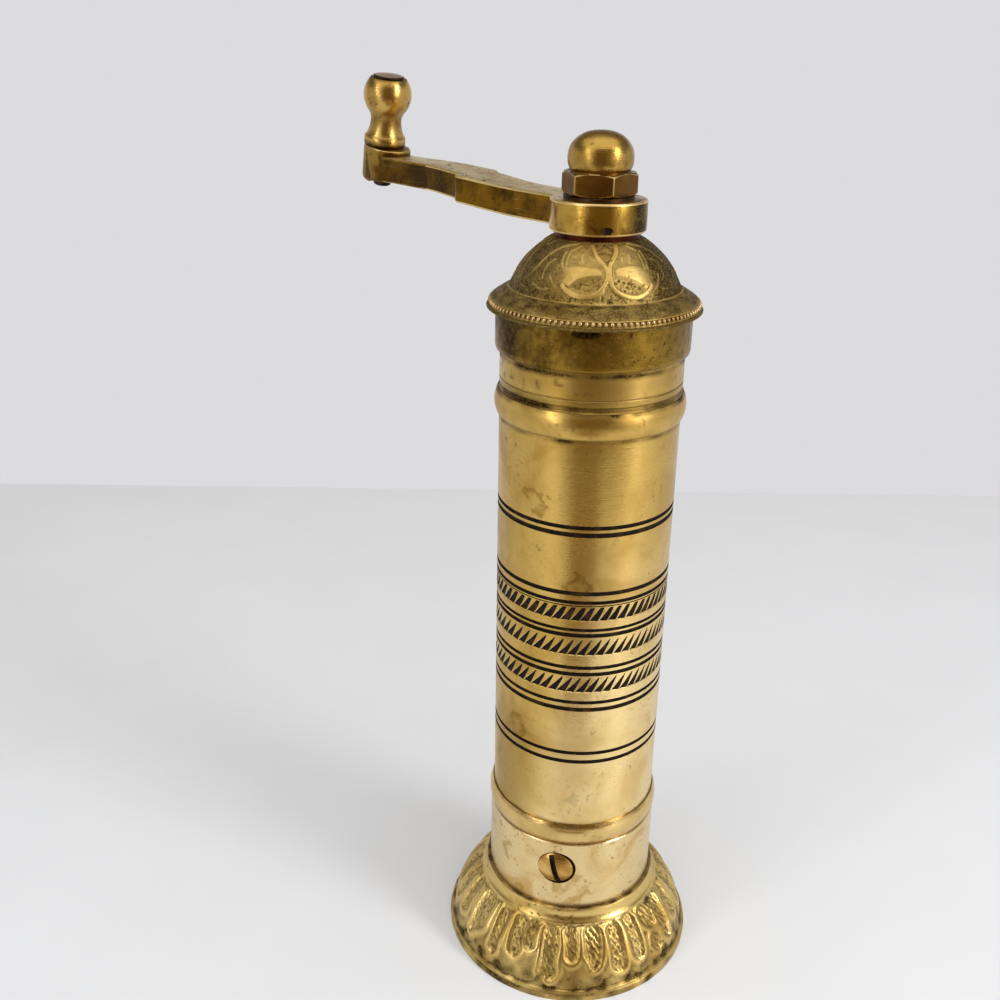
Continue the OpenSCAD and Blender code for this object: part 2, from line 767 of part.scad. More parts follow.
// A ring of saw teeth, whose points step by depth from the tip to the root of each tooth
function saw_ring(r, z, points, teeth, depth, turn) =
    [for (i = [0 : points - 1])
        let (
            in_tooth = i * teeth / points,
            a = 360 * i / points + turn,
            cut = depth * (in_tooth - floor(in_tooth)))
        [(r + cut) * cos(a), (r + cut) * sin(a), z]];

function rotor_r(z) = mix(rotor_base_d, rotor_top_d, (z - rotor_z) / rotor_h) / 2;

function burr_r(z) = rotor_r(z) + burr_gap;

module rotor_burr() {
    points = 3 * rotor_fine_teeth;
    fine_steps = 4;
    coarse_steps = 7;
    split_h = throat_z - rotor_z;
    coarse_h = rotor_h - split_h;
    ledge = fine_depth;
    color(IRON) difference() {
        skin(concat(
            [for (k = [0 : fine_steps]) let (t = k / fine_steps, z = rotor_z + split_h * t)
                saw_ring(rotor_r(z), z, points, rotor_fine_teeth, -fine_depth, fine_twist * t)],
            [for (k = [0 : coarse_steps]) let (t = k / coarse_steps, z = throat_z + mix(ledge, coarse_h, t))
                saw_ring(
                    rotor_r(z), z, points, rotor_coarse_teeth, -coarse_depth, fine_twist + coarse_twist * t)]
        ));
        rod(rotor_z - EPS, rotor_h + 2 * EPS, spigot_d + 2 * seat_gap);
        cross_rod(rotor_top - rotor_pin_drop, rotor_base_d, rotor_pin_d + 2 * seat_gap);
    }
}

module rotor_pin() {
    z = rotor_top - rotor_pin_drop;
    color(STEEL) cross_rod(z, 2 * (rotor_r(z) - coarse_depth), rotor_pin_d);
}

module stator_burr() {
    points = 3 * stator_fine_teeth;
    fine_steps = 4;
    coarse_steps = 5;
    funnel_r = funnel_d / 2 - fine_depth;
    throat_r = burr_r(throat_z);
    ledge = fine_depth;
    color(IRON) difference() {
        ring(stator_z, stator_h, stator_r, point_d);
        skin(concat(
            [saw_ring(burr_r(stator_z), stator_z - EPS, points, stator_fine_teeth, fine_depth, 0)],
            [for (k = [0 : fine_steps]) let (t = k / fine_steps, z = mix(stator_z, throat_z, t))
                saw_ring(burr_r(z), z, points, stator_fine_teeth, fine_depth, -fine_twist * t)],
            [for (k = [0 : coarse_steps])
                let (t = k / coarse_steps, z = mix(throat_z + ledge, stator_top, t))
                saw_ring(mix(throat_r, funnel_r, t), z, points, stator_coarse_teeth, fine_depth,
                    -fine_twist - coarse_twist / 2 * t)],
            [saw_ring(funnel_r, stator_top + EPS, points, stator_coarse_teeth, fine_depth,
                -fine_twist - coarse_twist / 2)]
        ));
        around_base() translate([0, 0, stator_r - base_screw_in - EPS])
            cylinder(d = base_screw_d, h = base_screw_in + 2 * EPS);
        on_bridge_screws() rod(stator_z - EPS, bridge_screw_l + 2 * EPS, bridge_screw_d + 2 * seat_gap);
    }
}

module on_bridge() {
    rotate([0, 0, bridge_turn]) children();
}

module on_bridge_screws() {
    on_bridge() for (side = [-1, 1]) translate([side * bridge_screw_r, 0, 0]) children();
}

module lower_bridge() {
    end_d = 2 * (stator_r - bolt_gap);
    color(BRASS) translate([0, 0, bridge_z]) on_bridge() linear_extrude(bridge_t) difference() {
        union() {
            intersection() {
                square([end_d, bridge_w], center = true);
                circle(d = end_d);
            }
            circle(d = bridge_boss_d);
        }
        circle(d = adjuster_d + 2 * running_gap);
        for (side = [-1, 1]) translate([side * bridge_screw_r, 0]) circle(d = bridge_screw_d + 2 * bolt_gap);
    }
}

module bridge_screws() {
    color(STEEL) on_bridge_screws() difference() {
        union() {
            rod(bridge_z - bridge_screw_head_h, bridge_screw_head_h, bridge_screw_head_d);
            rod(bridge_z - EPS, bridge_t + bridge_screw_l + EPS, bridge_screw_d);
        }
        translate([-base_slot_w / 2, -bridge_screw_d, bridge_z - bridge_screw_head_h - EPS])
            cube([base_slot_w, 2 * bridge_screw_d, bridge_screw_head_h / 2 + EPS]);
    }
}

module adjusting_screw() {
    hollow_at = star_d / 2 + star_hollow_d / 4;
    color(BRASS) difference() {
        union() {
            rod(star_z, star_h, star_d);
            rod(star_z + star_h - EPS, adjuster_top - star_z - star_h + EPS, adjuster_d);
        }
        for (i = [0 : star_lobes - 1]) rotate([0, 0, i * 360 / star_lobes]) translate([hollow_at, 0, 0])
            rod(star_z - EPS, star_h + 2 * EPS, star_hollow_d);
    }
}

module upper_guide() {
    rim_r = bore_r - seat_gap;
    color(BRASS) difference() {
        union() {
            ring(guide_z, guide_h, rim_r, rim_r - guide_rim);
            rod(guide_z, guide_h, guide_hub_d);
            intersection() {
                for (i = [0 : guide_arms - 1]) rotate([0, 0, i * 360 / guide_arms])
                    translate([0, -guide_arm_w / 2, guide_z]) cube([rim_r, guide_arm_w, guide_arm_h]);
                rod(guide_z, guide_h, 2 * rim_r - guide_rim);
            }
        }
        rod(guide_z - EPS, guide_h + 2 * EPS, shaft_d + 2 * running_gap);
    }
}

module spring_collar() {
    color(STEEL) difference() {
        ring(spring_collar_z, spring_collar_h, spring_collar_d / 2, shaft_r + seat_gap);
        cross_rod(spring_collar_z + spring_collar_h / 2, spring_collar_d + EPS, collar_pin_d + 2 * seat_gap);
    }
}

module collar_pin() {
    color(STEEL) cross_rod(spring_collar_z + spring_collar_h / 2, spring_collar_d, collar_pin_d);
}

module spring_washer() {
    color(STEEL) ring(spring_washer_z, spring_washer_t, spring_washer_d / 2, shaft_hole_r);
}

// The spring's wire: its middle line, and the rings of points round it
coil_steps = 8 * coil_turns;
coil_low = spring_z + wire_d / 2 + rub_gap;
coil_rise = spring_h - wire_d - 2 * rub_gap;
coil_line = [for (i = [0 : coil_steps]) let (a = 45 * i)
    [coil_d / 2 * cos(a), coil_d / 2 * sin(a), coil_low + coil_rise * i / coil_steps]];
coil_self_gap = min([
    for (i = [0 : coil_steps - 4], j = [i + 4 : coil_steps]) norm(coil_line[j] - coil_line[i])])
    - wire_d;
echo(spring_gap_between_turns = coil_self_gap);

module shaft_spring() {
    sides = 6;
    slope = atan(coil_rise / (PI * coil_d * coil_turns));
    rings = [for (i = [0 : coil_steps], k = [0 : sides - 1])
        let (
            a = 45 * i,
            b = 360 * k / sides,
            out = [cos(a), sin(a), 0],
            up = [sin(slope) * sin(a), -sin(slope) * cos(a), cos(slope)]
        )
        coil_line[i] + wire_d / 2 * (cos(b) * out + sin(b) * up)];
    last = coil_steps * sides;
    color(STEEL) polyhedron(
        points = rings,
        faces = concat(
            [for (i = [0 : coil_steps - 1], k = [0 : sides - 1])
                let (p = i * sides, q = (k + 1) % sides)
                each [[p + k, p + q, p + sides + q], [p + k, p + sides + q, p + sides + k]]],
            [for (k = [1 : sides - 2]) [0, k + 1, k]],
            [for (k = [1 : sides - 2]) [last, last + k, last + k + 1]]
        )
    );
}

flared_foot();
base_sleeve();
base_screws();
lower_bead_ring();
body_tube();
upper_bead_ring();
lid_collar();
dome_lid();
hub_washer();
crank_arm();
knob();
knob_pin();
nut_washer();
cap_nut();
drive_shaft();
rotor_burr();
rotor_pin();
stator_burr();
lower_bridge();
bridge_screws();
adjusting_screw();
upper_guide();
spring_collar();
collar_pin();
spring_washer();
shaft_spring();
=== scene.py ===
# %% [markdown]
# This is a hand-cranked brass mill for Turkish coffee, about 20 cm tall. Its solids come
# from CAD and stay where they are. Here each piece that shows gets a finer mesh and an aged
# metal finish. Every piece is made where the CAD has it, so nothing has to be fitted.

# %% Load the frame
import math
import random
import bpy
import numpy as np
from mathutils import Matrix, Vector, noise


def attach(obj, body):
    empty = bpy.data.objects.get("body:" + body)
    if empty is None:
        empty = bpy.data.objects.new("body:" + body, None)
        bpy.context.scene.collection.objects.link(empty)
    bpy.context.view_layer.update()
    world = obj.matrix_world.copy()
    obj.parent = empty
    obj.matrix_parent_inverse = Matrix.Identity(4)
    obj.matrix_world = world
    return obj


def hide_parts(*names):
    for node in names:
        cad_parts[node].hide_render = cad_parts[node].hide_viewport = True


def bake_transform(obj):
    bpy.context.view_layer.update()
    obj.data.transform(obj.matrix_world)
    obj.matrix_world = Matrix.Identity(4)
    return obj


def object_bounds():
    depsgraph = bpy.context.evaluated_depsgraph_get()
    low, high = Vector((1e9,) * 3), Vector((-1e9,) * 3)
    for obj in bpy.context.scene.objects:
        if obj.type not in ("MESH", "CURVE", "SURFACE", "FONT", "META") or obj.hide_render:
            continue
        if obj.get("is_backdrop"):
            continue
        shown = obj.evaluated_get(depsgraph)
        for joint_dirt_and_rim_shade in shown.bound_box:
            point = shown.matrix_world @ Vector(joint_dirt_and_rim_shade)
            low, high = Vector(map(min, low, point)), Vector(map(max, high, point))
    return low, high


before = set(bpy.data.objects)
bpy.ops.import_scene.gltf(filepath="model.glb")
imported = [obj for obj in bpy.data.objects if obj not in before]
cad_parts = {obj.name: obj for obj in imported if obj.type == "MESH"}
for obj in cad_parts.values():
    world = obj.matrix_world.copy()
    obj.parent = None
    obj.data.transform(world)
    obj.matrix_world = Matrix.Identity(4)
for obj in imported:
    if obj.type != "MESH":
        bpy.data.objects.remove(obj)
cad_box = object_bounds()
MM = 0.001
random.seed(7)

# %% [markdown]
# The camera comes first, because everything is judged through it. It stands in front of the
# mill and a little above the crank, and looks down by about 23 degrees. The three turns are
# heading, tilt and a slight roll, multiplied in that order. A place round the mill is given
# by its bearing, in degrees, and the camera stands at -45.

# %% Camera
HEADING, LOOK_DOWN, ROLL = 49.848, 23.208, 0.718
CAMERA_PLACE, CAMERA_BEARING = (0.15507, -0.15507, 0.2083), -45
SENSOR, FOCAL = 36, 36 * 1.0912


def around(bearing, radius=1.0, height=0.0):
    """The point at a bearing, a radius and a height."""
    a = math.radians(bearing)
    return Vector((radius * math.cos(a), radius * math.sin(a), height))


turns = Matrix.Identity(3)
for degrees, axis in ((HEADING, "Z"), (90 - LOOK_DOWN, "X"), (ROLL, "Z")):
    turns = turns @ Matrix.Rotation(math.radians(degrees), 3, axis)
bpy.ops.object.camera_add(location=CAMERA_PLACE, rotation=turns.to_euler())
camera = bpy.context.object
camera.data.sensor_width = SENSOR
camera.data.lens = FOCAL
camera.data.clip_start = 0.01
bpy.context.scene.camera = camera
print("camera lens", round(camera.data.lens, 2), "mm")

# %% [markdown]
# Small helpers keep the later cells short. An operator works on whatever is selected, so each piece starts
# by clearing the selection, and later steps pick one piece as the active one. A finished piece is dressed:
# it gets its finishes and the body that it moves with, and the CAD solid that it stands for is hidden.

# %% Selection helpers
def deselect_all():
    if bpy.context.object and bpy.context.object.mode != "OBJECT":
        bpy.ops.object.mode_set(mode="OBJECT")
    bpy.ops.object.select_all(action="DESELECT")


def pick(piece, *others):
    deselect_all()
    for one in (piece, *others):
        one.select_set(True)
    bpy.context.view_layer.objects.active = piece


def edit_all(piece):
    pick(piece)
    bpy.ops.object.mode_set(mode="EDIT")
    bpy.ops.mesh.select_all(action="SELECT")


def smooth(piece, degrees=30):
    pick(piece)
    bpy.ops.object.shade_smooth_by_angle(angle=math.radians(degrees))


def give(piece, *finishes):
    for finish in finishes:
        piece.data.materials.append(finish)


def dress(piece, body, slot, node, *finishes):
    give(piece, *finishes)
    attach(piece, body)
    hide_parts(node)
    print(piece.name, "faces:", len(piece.data.polygons), "rides on", body)


deselect_all()
print("selected after clearing:", len(bpy.context.selected_objects))

# %% [markdown]
# Colours are given as screen values from 0 to 255. Shaders count in linear light, so one function changes
# the one into the other. The next functions add a node with its plain values, mix two colours by a mask,
# ease a value into a range and look up noise.

# %% Node helpers
def colour(red, green, blue):
    def linear(c):
        c /= 255
        return c / 12.92 if c <= 0.04 else ((c + 0.055) / 1.055) ** 2.4
    return (linear(red), linear(green), linear(blue), 1)


def add(tree, kind, values=None, **settings):
    made = tree.nodes.new("ShaderNode" + kind)
    for name, value in settings.items():
        setattr(made, name, value)
    for name, value in (values or {}).items():
        if isinstance(value, bpy.types.NodeSocket):
            tree.links.new(value, made.inputs[name])
        else:
            made.inputs[name].default_value = value
    return made


def mixed(tree, mask, first, second):
    return add(tree, "Mix", {0: mask, 6: first, 7: second}, data_type="RGBA").outputs[2]


def ranged(tree, value, low, high, to_low=0, to_high=1):
    values = {"Value": value, "From Min": low, "From Max": high, "To Min": to_low, "To Max": to_high}
    return add(tree, "MapRange", values, interpolation_type="SMOOTHSTEP").outputs["Result"]


def maths(tree, operation, first, second=0.5):
    return add(tree, "Math", {0: first, 1: second}, operation=operation).outputs[0]


def times(tree, first, second):
    return maths(tree, "MULTIPLY", first, second)


def place_on(tree):
    return add(tree, "TexCoord").outputs["Object"]


def noisy(tree, place, scale, detail=2.0, **values):
    values |= {"Vector": place, "Scale": scale, "Detail": detail}
    return add(tree, "TexNoise", values).outputs["Fac"]


print("a screen grey of 128 is", round(colour(128, 128, 128)[0], 3), "in linear light")

# %% [markdown]
# Old brass is never one colour. Handling leaves cloudy stains, drops that dried leave rings,
# damp leaves small dark specks, and wiping leaves hairlines that run round the turned pieces
# and scratches that cross them. These masks are one node group, so that each metal can use
# them with stains of its own size. They read Object coordinates, in metres, so a scale of 100
# gives marks of about a centimetre.

# %% Old metal group
SPECK_SIZE, PATCH_SIZE, GRAIN_SIZE, HAIR_SIZE = 900, 120, 2600, (60, 60, 5200)
old_metal = bpy.data.node_groups.new("Old metal", "ShaderNodeTree")
old_metal.interface.new_socket("Stain Size", in_out="INPUT", socket_type="NodeSocketFloat")
for name in ("Stain", "Speck", "Grain", "Hairline", "Ring", "Scratch", "Height", "Patch"):
    old_metal.interface.new_socket(name, in_out="OUTPUT", socket_type="NodeSocketFloat")
old_metal.interface.new_socket("Shaken", in_out="OUTPUT", socket_type="NodeSocketVector")
stain_size = old_metal.nodes.new("NodeGroupInput").outputs["Stain Size"]
place = place_on(old_metal)
cloud = noisy(old_metal, place, stain_size, 6, Roughness=0.62, Distortion=0.7)
specks = times(old_metal, ranged(old_metal, noisy(old_metal, place, SPECK_SIZE, 3), 0.58, 0.68),
               ranged(old_metal, noisy(old_metal, place, PATCH_SIZE), 0.48, 0.64))
grain = noisy(old_metal, place, GRAIN_SIZE, 4)
flat = add(old_metal, "Mapping", {"Vector": place, "Scale": HAIR_SIZE})
hairline = noisy(old_metal, flat.outputs[0], 1, 3, Distortion=0.2)
print("group", old_metal.name, "has", len(old_metal.nodes), "nodes so far")

# %% [markdown]
# A dried drop is a ring with a ragged edge. Voronoi cells give each drop a middle, some noise
# shifts the coordinates to make the edge ragged, and only some of the cells keep their drop.
# Scratches are noise that is stretched seventy times in one direction.

# %% Drop rings and scratches
DROP_SIZE, RAGGED_SIZE, RAGGED_SHIFT = 62, 260, (0.007, 0.007, 0.007)
SCRATCH_SIZE, SCRATCH_TURNS = (45, 3200, 3200), ((0.4, 0.7, 0.3), (1.1, -0.5, 0.9))
ragged = add(old_metal, "TexNoise", {"Vector": place, "Scale": RAGGED_SIZE, "Detail": 3}).outputs
shaken = add(old_metal, "VectorMath", {0: ragged["Color"], 1: RAGGED_SHIFT, 2: place},
             operation="MULTIPLY_ADD").outputs[0]
drop = add(old_metal, "TexVoronoi", {"Vector": shaken, "Scale": DROP_SIZE}).outputs
kept = add(old_metal, "SeparateColor", {"Color": drop["Color"]}).outputs["Red"]
drop_edge = times(old_metal, ranged(old_metal, drop["Distance"], 0.12, 0.2),
                  ranged(old_metal, drop["Distance"], 0.2, 0.25, 1, 0))
scratches = []
for turn in SCRATCH_TURNS:
    way = add(old_metal, "Mapping", {"Vector": place, "Rotation": turn, "Scale": SCRATCH_SIZE})
    scratches.append(ranged(old_metal, noisy(old_metal, way.outputs[0], 1), 0.66, 0.74))
scratch = maths(old_metal, "MAXIMUM", *scratches)
relief = maths(old_metal, "ADD", grain, times(old_metal, hairline, 0.8))
masks = {"Stain": ranged(old_metal, cloud, 0.42, 0.68), "Speck": specks, "Grain": grain,
         "Hairline": hairline, "Ring": times(old_metal, drop_edge, ranged(old_metal, kept, 0.55, 0.6)),
         "Scratch": scratch, "Height": maths(old_metal, "SUBTRACT", relief, scratch),
         "Patch": ragged["Fac"], "Shaken": shaken}
group_end = old_metal.nodes.new("NodeGroupOutput")
for name, mask in masks.items():
    old_metal.links.new(mask, group_end.inputs[name])
print("group", old_metal.name, "has", len(old_metal.nodes), "nodes")

# %% [markdown]
# Some marks are the mill's own. A few large drops dried on the tube and the sleeve, and each
# is placed by its bearing, height and size, with a number that tells how filled its middle is.
# The lower part of the tube is painted paler, as a painted reflection of the pale table, and the pale part
# reaches higher on the right than on the left.

# %% Single marks
TUBE_R = 19.0
SHEEN_TILT, SHEEN_WAY = 5, around(HEADING)


def with_drop(tree, marks, tone, dried, bearing, height, size, core):
    middle = around(bearing, TUBE_R * MM, height)
    away = add(tree, "VectorMath", {0: marks["Shaken"], 1: middle}, operation="DISTANCE").outputs["Value"]
    ring = times(tree, ranged(tree, away, size * 0.6, size * 0.95, core, 1),
                 ranged(tree, away, size, size * 1.15, 1, 0))
    ring = times(tree, ring, ranged(tree, marks["Patch"], 0.4, 0.52))
    return mixed(tree, times(tree, ring, 0.6), tone, colour(*dried))


def table_sheen_share(tree, low, high):
    """0 where the painted reflection of the table makes the tube pale, and 1 above."""
    place = place_on(tree)
    height = add(tree, "SeparateXYZ", {0: place}).outputs["Z"]
    right = add(tree, "VectorMath", {0: place, 1: SHEEN_WAY}, operation="DOT_PRODUCT").outputs["Value"]
    left_lift = times(tree, maths(tree, "MINIMUM", right, 0), SHEEN_TILT)
    return ranged(tree, maths(tree, "SUBTRACT", height, left_lift), low, high)


print("the drops lie", TUBE_R, "mm from the axis")

# %% [markdown]
# One function makes every aged metal. It mixes a clean and a stained tone by the stain mask, adds rings,
# specks and scratches, and lets the stains and hairlines change the roughness. A painted attribute called
# hollow tells some finishes where dirt lies, in relief or in corners, and where painted shade lies; both
# take the dirt tone.
# The turned pieces are anisotropic: their tool marks run round, so a lamp smears into an
# upright streak.

# %% Aged metal finish
SHINE, BROWN, SOOT = (232, 206, 146), (120, 82, 24), (40, 29, 10)


def aged_metal(name, clean, stained, dirt, rough, stain=70, streak=0.0, bump=0.12, hollow=False,
               speck=0.7, ring=0.0, scratch=0.0, table_sheen=None, drops=(), dried=BROWN):
    finish = bpy.data.materials.new(name)
    finish.use_nodes = True
    tree = finish.node_tree
    shader = tree.nodes["Principled BSDF"].inputs
    shader["Metallic"].default_value = 1.0
    group = tree.nodes.new("ShaderNodeGroup")
    group.node_tree = old_metal
    group.inputs["Stain Size"].default_value = stain
    marks = group.outputs
    clean, stained, dirt = colour(*clean), colour(*stained), colour(*dirt)
    cloudy = maths(tree, "ADD", marks["Stain"], marks["Hairline"])
    roughness = ranged(tree, cloudy, 0, 2, rough * 0.8, rough * 1.35)
    # Painted reflection: low on the piece both tones turn paler, as the mirrored pale table.
    if table_sheen:
        low, high, sheen_clean, sheen_stained = table_sheen
        share = table_sheen_share(tree, low, high)
        clean = mixed(tree, share, colour(*sheen_clean), clean)
        stained = mixed(tree, share, colour(*sheen_stained), stained)
    tone = mixed(tree, marks["Stain"], clean, stained)
    layers = (("Ring", ring, dirt), ("Speck", speck, dirt), ("Scratch", scratch, colour(*SHINE)))
    for mask, part, other in layers:
        if part:
            tone = mixed(tree, times(tree, marks[mask], part), tone, other)
    for drop in drops:
        tone = with_drop(tree, marks, tone, dried, *drop)
    if hollow:
        depth = add(tree, "Attribute", attribute_name="hollow").outputs["Fac"]
        muck_and_shade = times(tree, depth, ranged(tree, marks["Grain"], 0.3, 0.6, 0.72, 1))
        tone = mixed(tree, muck_and_shade, tone, dirt)
        roughness = maths(tree, "ADD", roughness, times(tree, muck_and_shade, 0.3))
    bumps = add(tree, "Bump", {"Strength": bump, "Distance": 0.0002, "Height": marks["Height"]})
    links = {"Base Color": tone, "Roughness": roughness, "Normal": bumps.outputs["Normal"]}
    if streak:
        shader["Anisotropic"].default_value = streak
        shader["Anisotropic Rotation"].default_value = 0.25
        links["Tangent"] = add(tree, "Tangent", direction_type="RADIAL", axis="Z").outputs["Tangent"]
    for socket, value in links.items():
        tree.links.new(value, shader[socket])
    return finish


print("tones that metals share:", SHINE, BROWN, SOOT)

# %% [markdown]
# The tube and the base are polished yellow brass. The sleeve is the palest, the lower bead is
# wiped like a mirror, and the cast foot keeps black dirt in its hollows. Each metal is given a
# clean tone, a stained one, its dirt and its roughness.

# %% Body metals
GOLD = (206, 171, 92)
TUBE_DROPS = ((-64, 0.1245, 0.0034, 0), (-33, 0.107, 0.003, 0), (-76, 0.0685, 0.0042, 0),
              (11, 0.110, 0.0026, 0))
SLEEVE_DROPS = ((-25, 0.0275, 0.0044, 0.55), (-80, 0.033, 0.003, 0.5), (-11, 0.0335, 0.0018, 0.7),
                (-67, 0.0225, 0.0022, 0.5))
# The painted reflection of the pale table on the lower tube: where it fades, and its two tones.
TABLE_SHEEN_BELOW = (0.066, 0.125, (240, 212, 150), (222, 190, 124))
tube_brass = aged_metal("tube brass", GOLD, (180, 142, 66), (46, 29, 7), 0.3, stain=55, streak=0.5,
                        hollow=True, speck=0.35, ring=0.2, scratch=0.1, drops=TUBE_DROPS,
                        dried=(136, 96, 26), table_sheen=TABLE_SHEEN_BELOW)
bead_brass = aged_metal("bead brass", GOLD, (184, 148, 76), (56, 37, 11), 0.32, stain=75, streak=0.3,
                        hollow=True, speck=0.35)
wiped_brass = aged_metal("wiped brass", (218, 187, 122), (190, 156, 88), (86, 58, 18), 0.19, stain=75,
                         streak=0.2, hollow=True)
base_brass = aged_metal("base brass", (230, 205, 150), (208, 172, 108), (126, 90, 40), 0.3, stain=80,
                        streak=0.4, hollow=True, ring=0.2, drops=SLEEVE_DROPS, dried=(176, 136, 58))
screw_brass = aged_metal("screw brass", (214, 178, 106), (176, 132, 64), BROWN, 0.24, stain=160)
foot_brass = aged_metal("foot brass", (220, 190, 118), (192, 158, 86), (54, 38, 10), 0.28, hollow=True)
print("finishes:", len(bpy.data.materials))

# %% [markdown]
# The lid and the crank are duller and olive, because nobody polished them, and edges that hands
# rub are bright. The top of the arm is engraved. Thin dark lines lie where a smooth noise passes
# its middle value, so they wander like strokes of a graver.

# %% Lid and crank metals
lid_brass = aged_metal("lid brass", (148, 116, 44), (98, 71, 20), (34, 22, 4), 0.34, stain=130, streak=0.3,
                       bump=0.25, hollow=True, ring=0.3, scratch=0.3)
dome_brass = aged_metal("dome brass", (214, 182, 108), (184, 150, 78), (58, 43, 11), 0.4, hollow=True,
                        bump=0.3, scratch=0.25)
tooth_brass = aged_metal("tooth brass", (216, 186, 130), (172, 138, 84), SOOT, 0.34, stain=160)
crank_brass = aged_metal("crank brass", (132, 94, 18), (80, 54, 8), SOOT, 0.34, stain=110, ring=0.4,
                         scratch=0.2, hollow=True)
hub_brass = aged_metal("hub brass", (196, 157, 70), (124, 86, 24), SOOT, 0.26, stain=200, streak=0.3,
                       hollow=True)
knob_brass = aged_metal("knob brass", (198, 162, 88), (148, 112, 50), (62, 36, 12), 0.26, stain=160,
                        hollow=True)
# Worn bright edges for the crank, and the painted highlight on the tube's wedge walls.
rubbed_edge_and_highlight = aged_metal("worn bright edge", (232, 206, 144), (206, 174, 108), BROWN, 0.36)
# The top of the arm is painted pale, as a painted reflection of the pale wall; its engraved lines are real.
engraved_top_with_sheen = aged_metal("engraved crank top", (224, 198, 140), (190, 162, 104), SOOT, 0.38, stain=130)
tree = engraved_top_with_sheen.node_tree
swirl = noisy(tree, place_on(tree), 340, 0, Distortion=0.6)
engraved = ranged(tree, maths(tree, "ABSOLUTE", maths(tree, "SUBTRACT", swirl)), 0.006, 0.018, 1, 0)
base = tree.nodes["Principled BSDF"].inputs["Base Color"]
tree.links.new(mixed(tree, engraved, base.links[0].from_socket, colour(*SOOT)), base)
print("finishes:", len(bpy.data.materials))

# %% [markdown]
# The nut is a brown bronze with rubbed edges. The rivet, the washers and the working parts
# inside are darker metals, and the burrs are cast iron.

# %% Small and inner metals
nut_bronze = aged_metal("nut bronze", (118, 82, 30), (92, 60, 18), SOOT, 0.34, stain=140)
nut_edge = aged_metal("nut edge", (186, 156, 100), (140, 108, 58), SOOT, 0.34)
cap_bronze = aged_metal("cap bronze", (176, 142, 70), (142, 108, 46), (70, 44, 14), 0.3, stain=140)
# The rivet is one metal in two copies: a pale top, a painted reflection, and a dark side and tail, painted
# shade.
rivet_lit_top = aged_metal("rivet grey", (224, 204, 176), (190, 162, 130), SOOT, 0.34, stain=260)
rivet_shaded_side = aged_metal("rivet edge", (60, 48, 40), (38, 28, 18), SOOT, 0.45, stain=260)
washer_copper = aged_metal("washer copper", (74, 30, 16), (48, 18, 8), SOOT, 0.5, stain=240)
# The steel washer's dark tone is painted shade, as it lies in the shade of the nut.
shaded_washer_steel = aged_metal("washer steel", (74, 52, 34), (46, 32, 20), SOOT, 0.42, stain=150)
dark_steel = aged_metal("dark steel", (120, 116, 110), (86, 80, 72), (54, 38, 26), 0.42, stain=150)
burr_iron = aged_metal("burr iron", (104, 100, 96), (78, 70, 62), (66, 44, 28), 0.48, stain=180)
inner_brass = aged_metal("inner brass", (186, 152, 88), (150, 112, 54), BROWN, 0.4, stain=130)
print("finishes:", len(bpy.data.materials))

# %% [markdown]
# The turned lines and the hatching are filled with black. It is a dull wax and no metal, and
# it has worn thin in places, so its colour moves a little between black and brown.

# %% Black filling
# The same black also paints shade inside the screw holes and on the floors of the screw slots.
black_fill_and_shade = bpy.data.materials.new("black filling")
black_fill_and_shade.use_nodes = True
tree = black_fill_and_shade.node_tree
wax = tree.nodes["Principled BSDF"].inputs
wax["Specular IOR Level"].default_value = 0.15
worn = noisy(tree, place_on(tree), 420, 4)
thin = ranged(tree, worn, 0.5, 0.72)
tree.links.new(mixed(tree, thin, colour(20, 11, 2), colour(58, 38, 12)), wax["Base Color"])
tree.links.new(ranged(tree, worn, 0.3, 0.7, 0.55, 0.75), wax["Roughness"])
print("made", black_fill_and_shade.name)

# %% [markdown]
# Most of the mill was turned on a lathe. The outline is drawn by extruding one vertex, as a
# list of radius and height in millimetres, and a Screw modifier turns it round the axis. Spin
# would give the same, but it is slow on an outline with many points.

# %% Lathe helpers
MERGE = 0.002 * MM


def bow(half, rise):
    """The radius of an arc that rises by so much in the middle of its chord."""
    return (half ** 2 + rise ** 2) / (2 * rise)


def arc(start, end, radius, steps=12):
    """Points on an arc from start to end; a negative radius makes it hollow."""
    p, q = Vector(start), Vector(end)
    way = q - p
    lift = math.copysign(math.sqrt(max(radius * radius - way.length_squared / 4, 0)), radius)
    centre = (p + q) / 2 + Vector((-way.y, way.x)) * (lift / way.length)
    first = math.atan2(p.y - centre.y, p.x - centre.x)
    turn = 2 * math.copysign(math.asin(min(way.length / (2 * abs(radius)), 1)), radius)
    return [(centre.x + abs(radius) * math.cos(first + turn * i / steps),
             centre.y + abs(radius) * math.sin(first + turn * i / steps)) for i in range(steps + 1)]


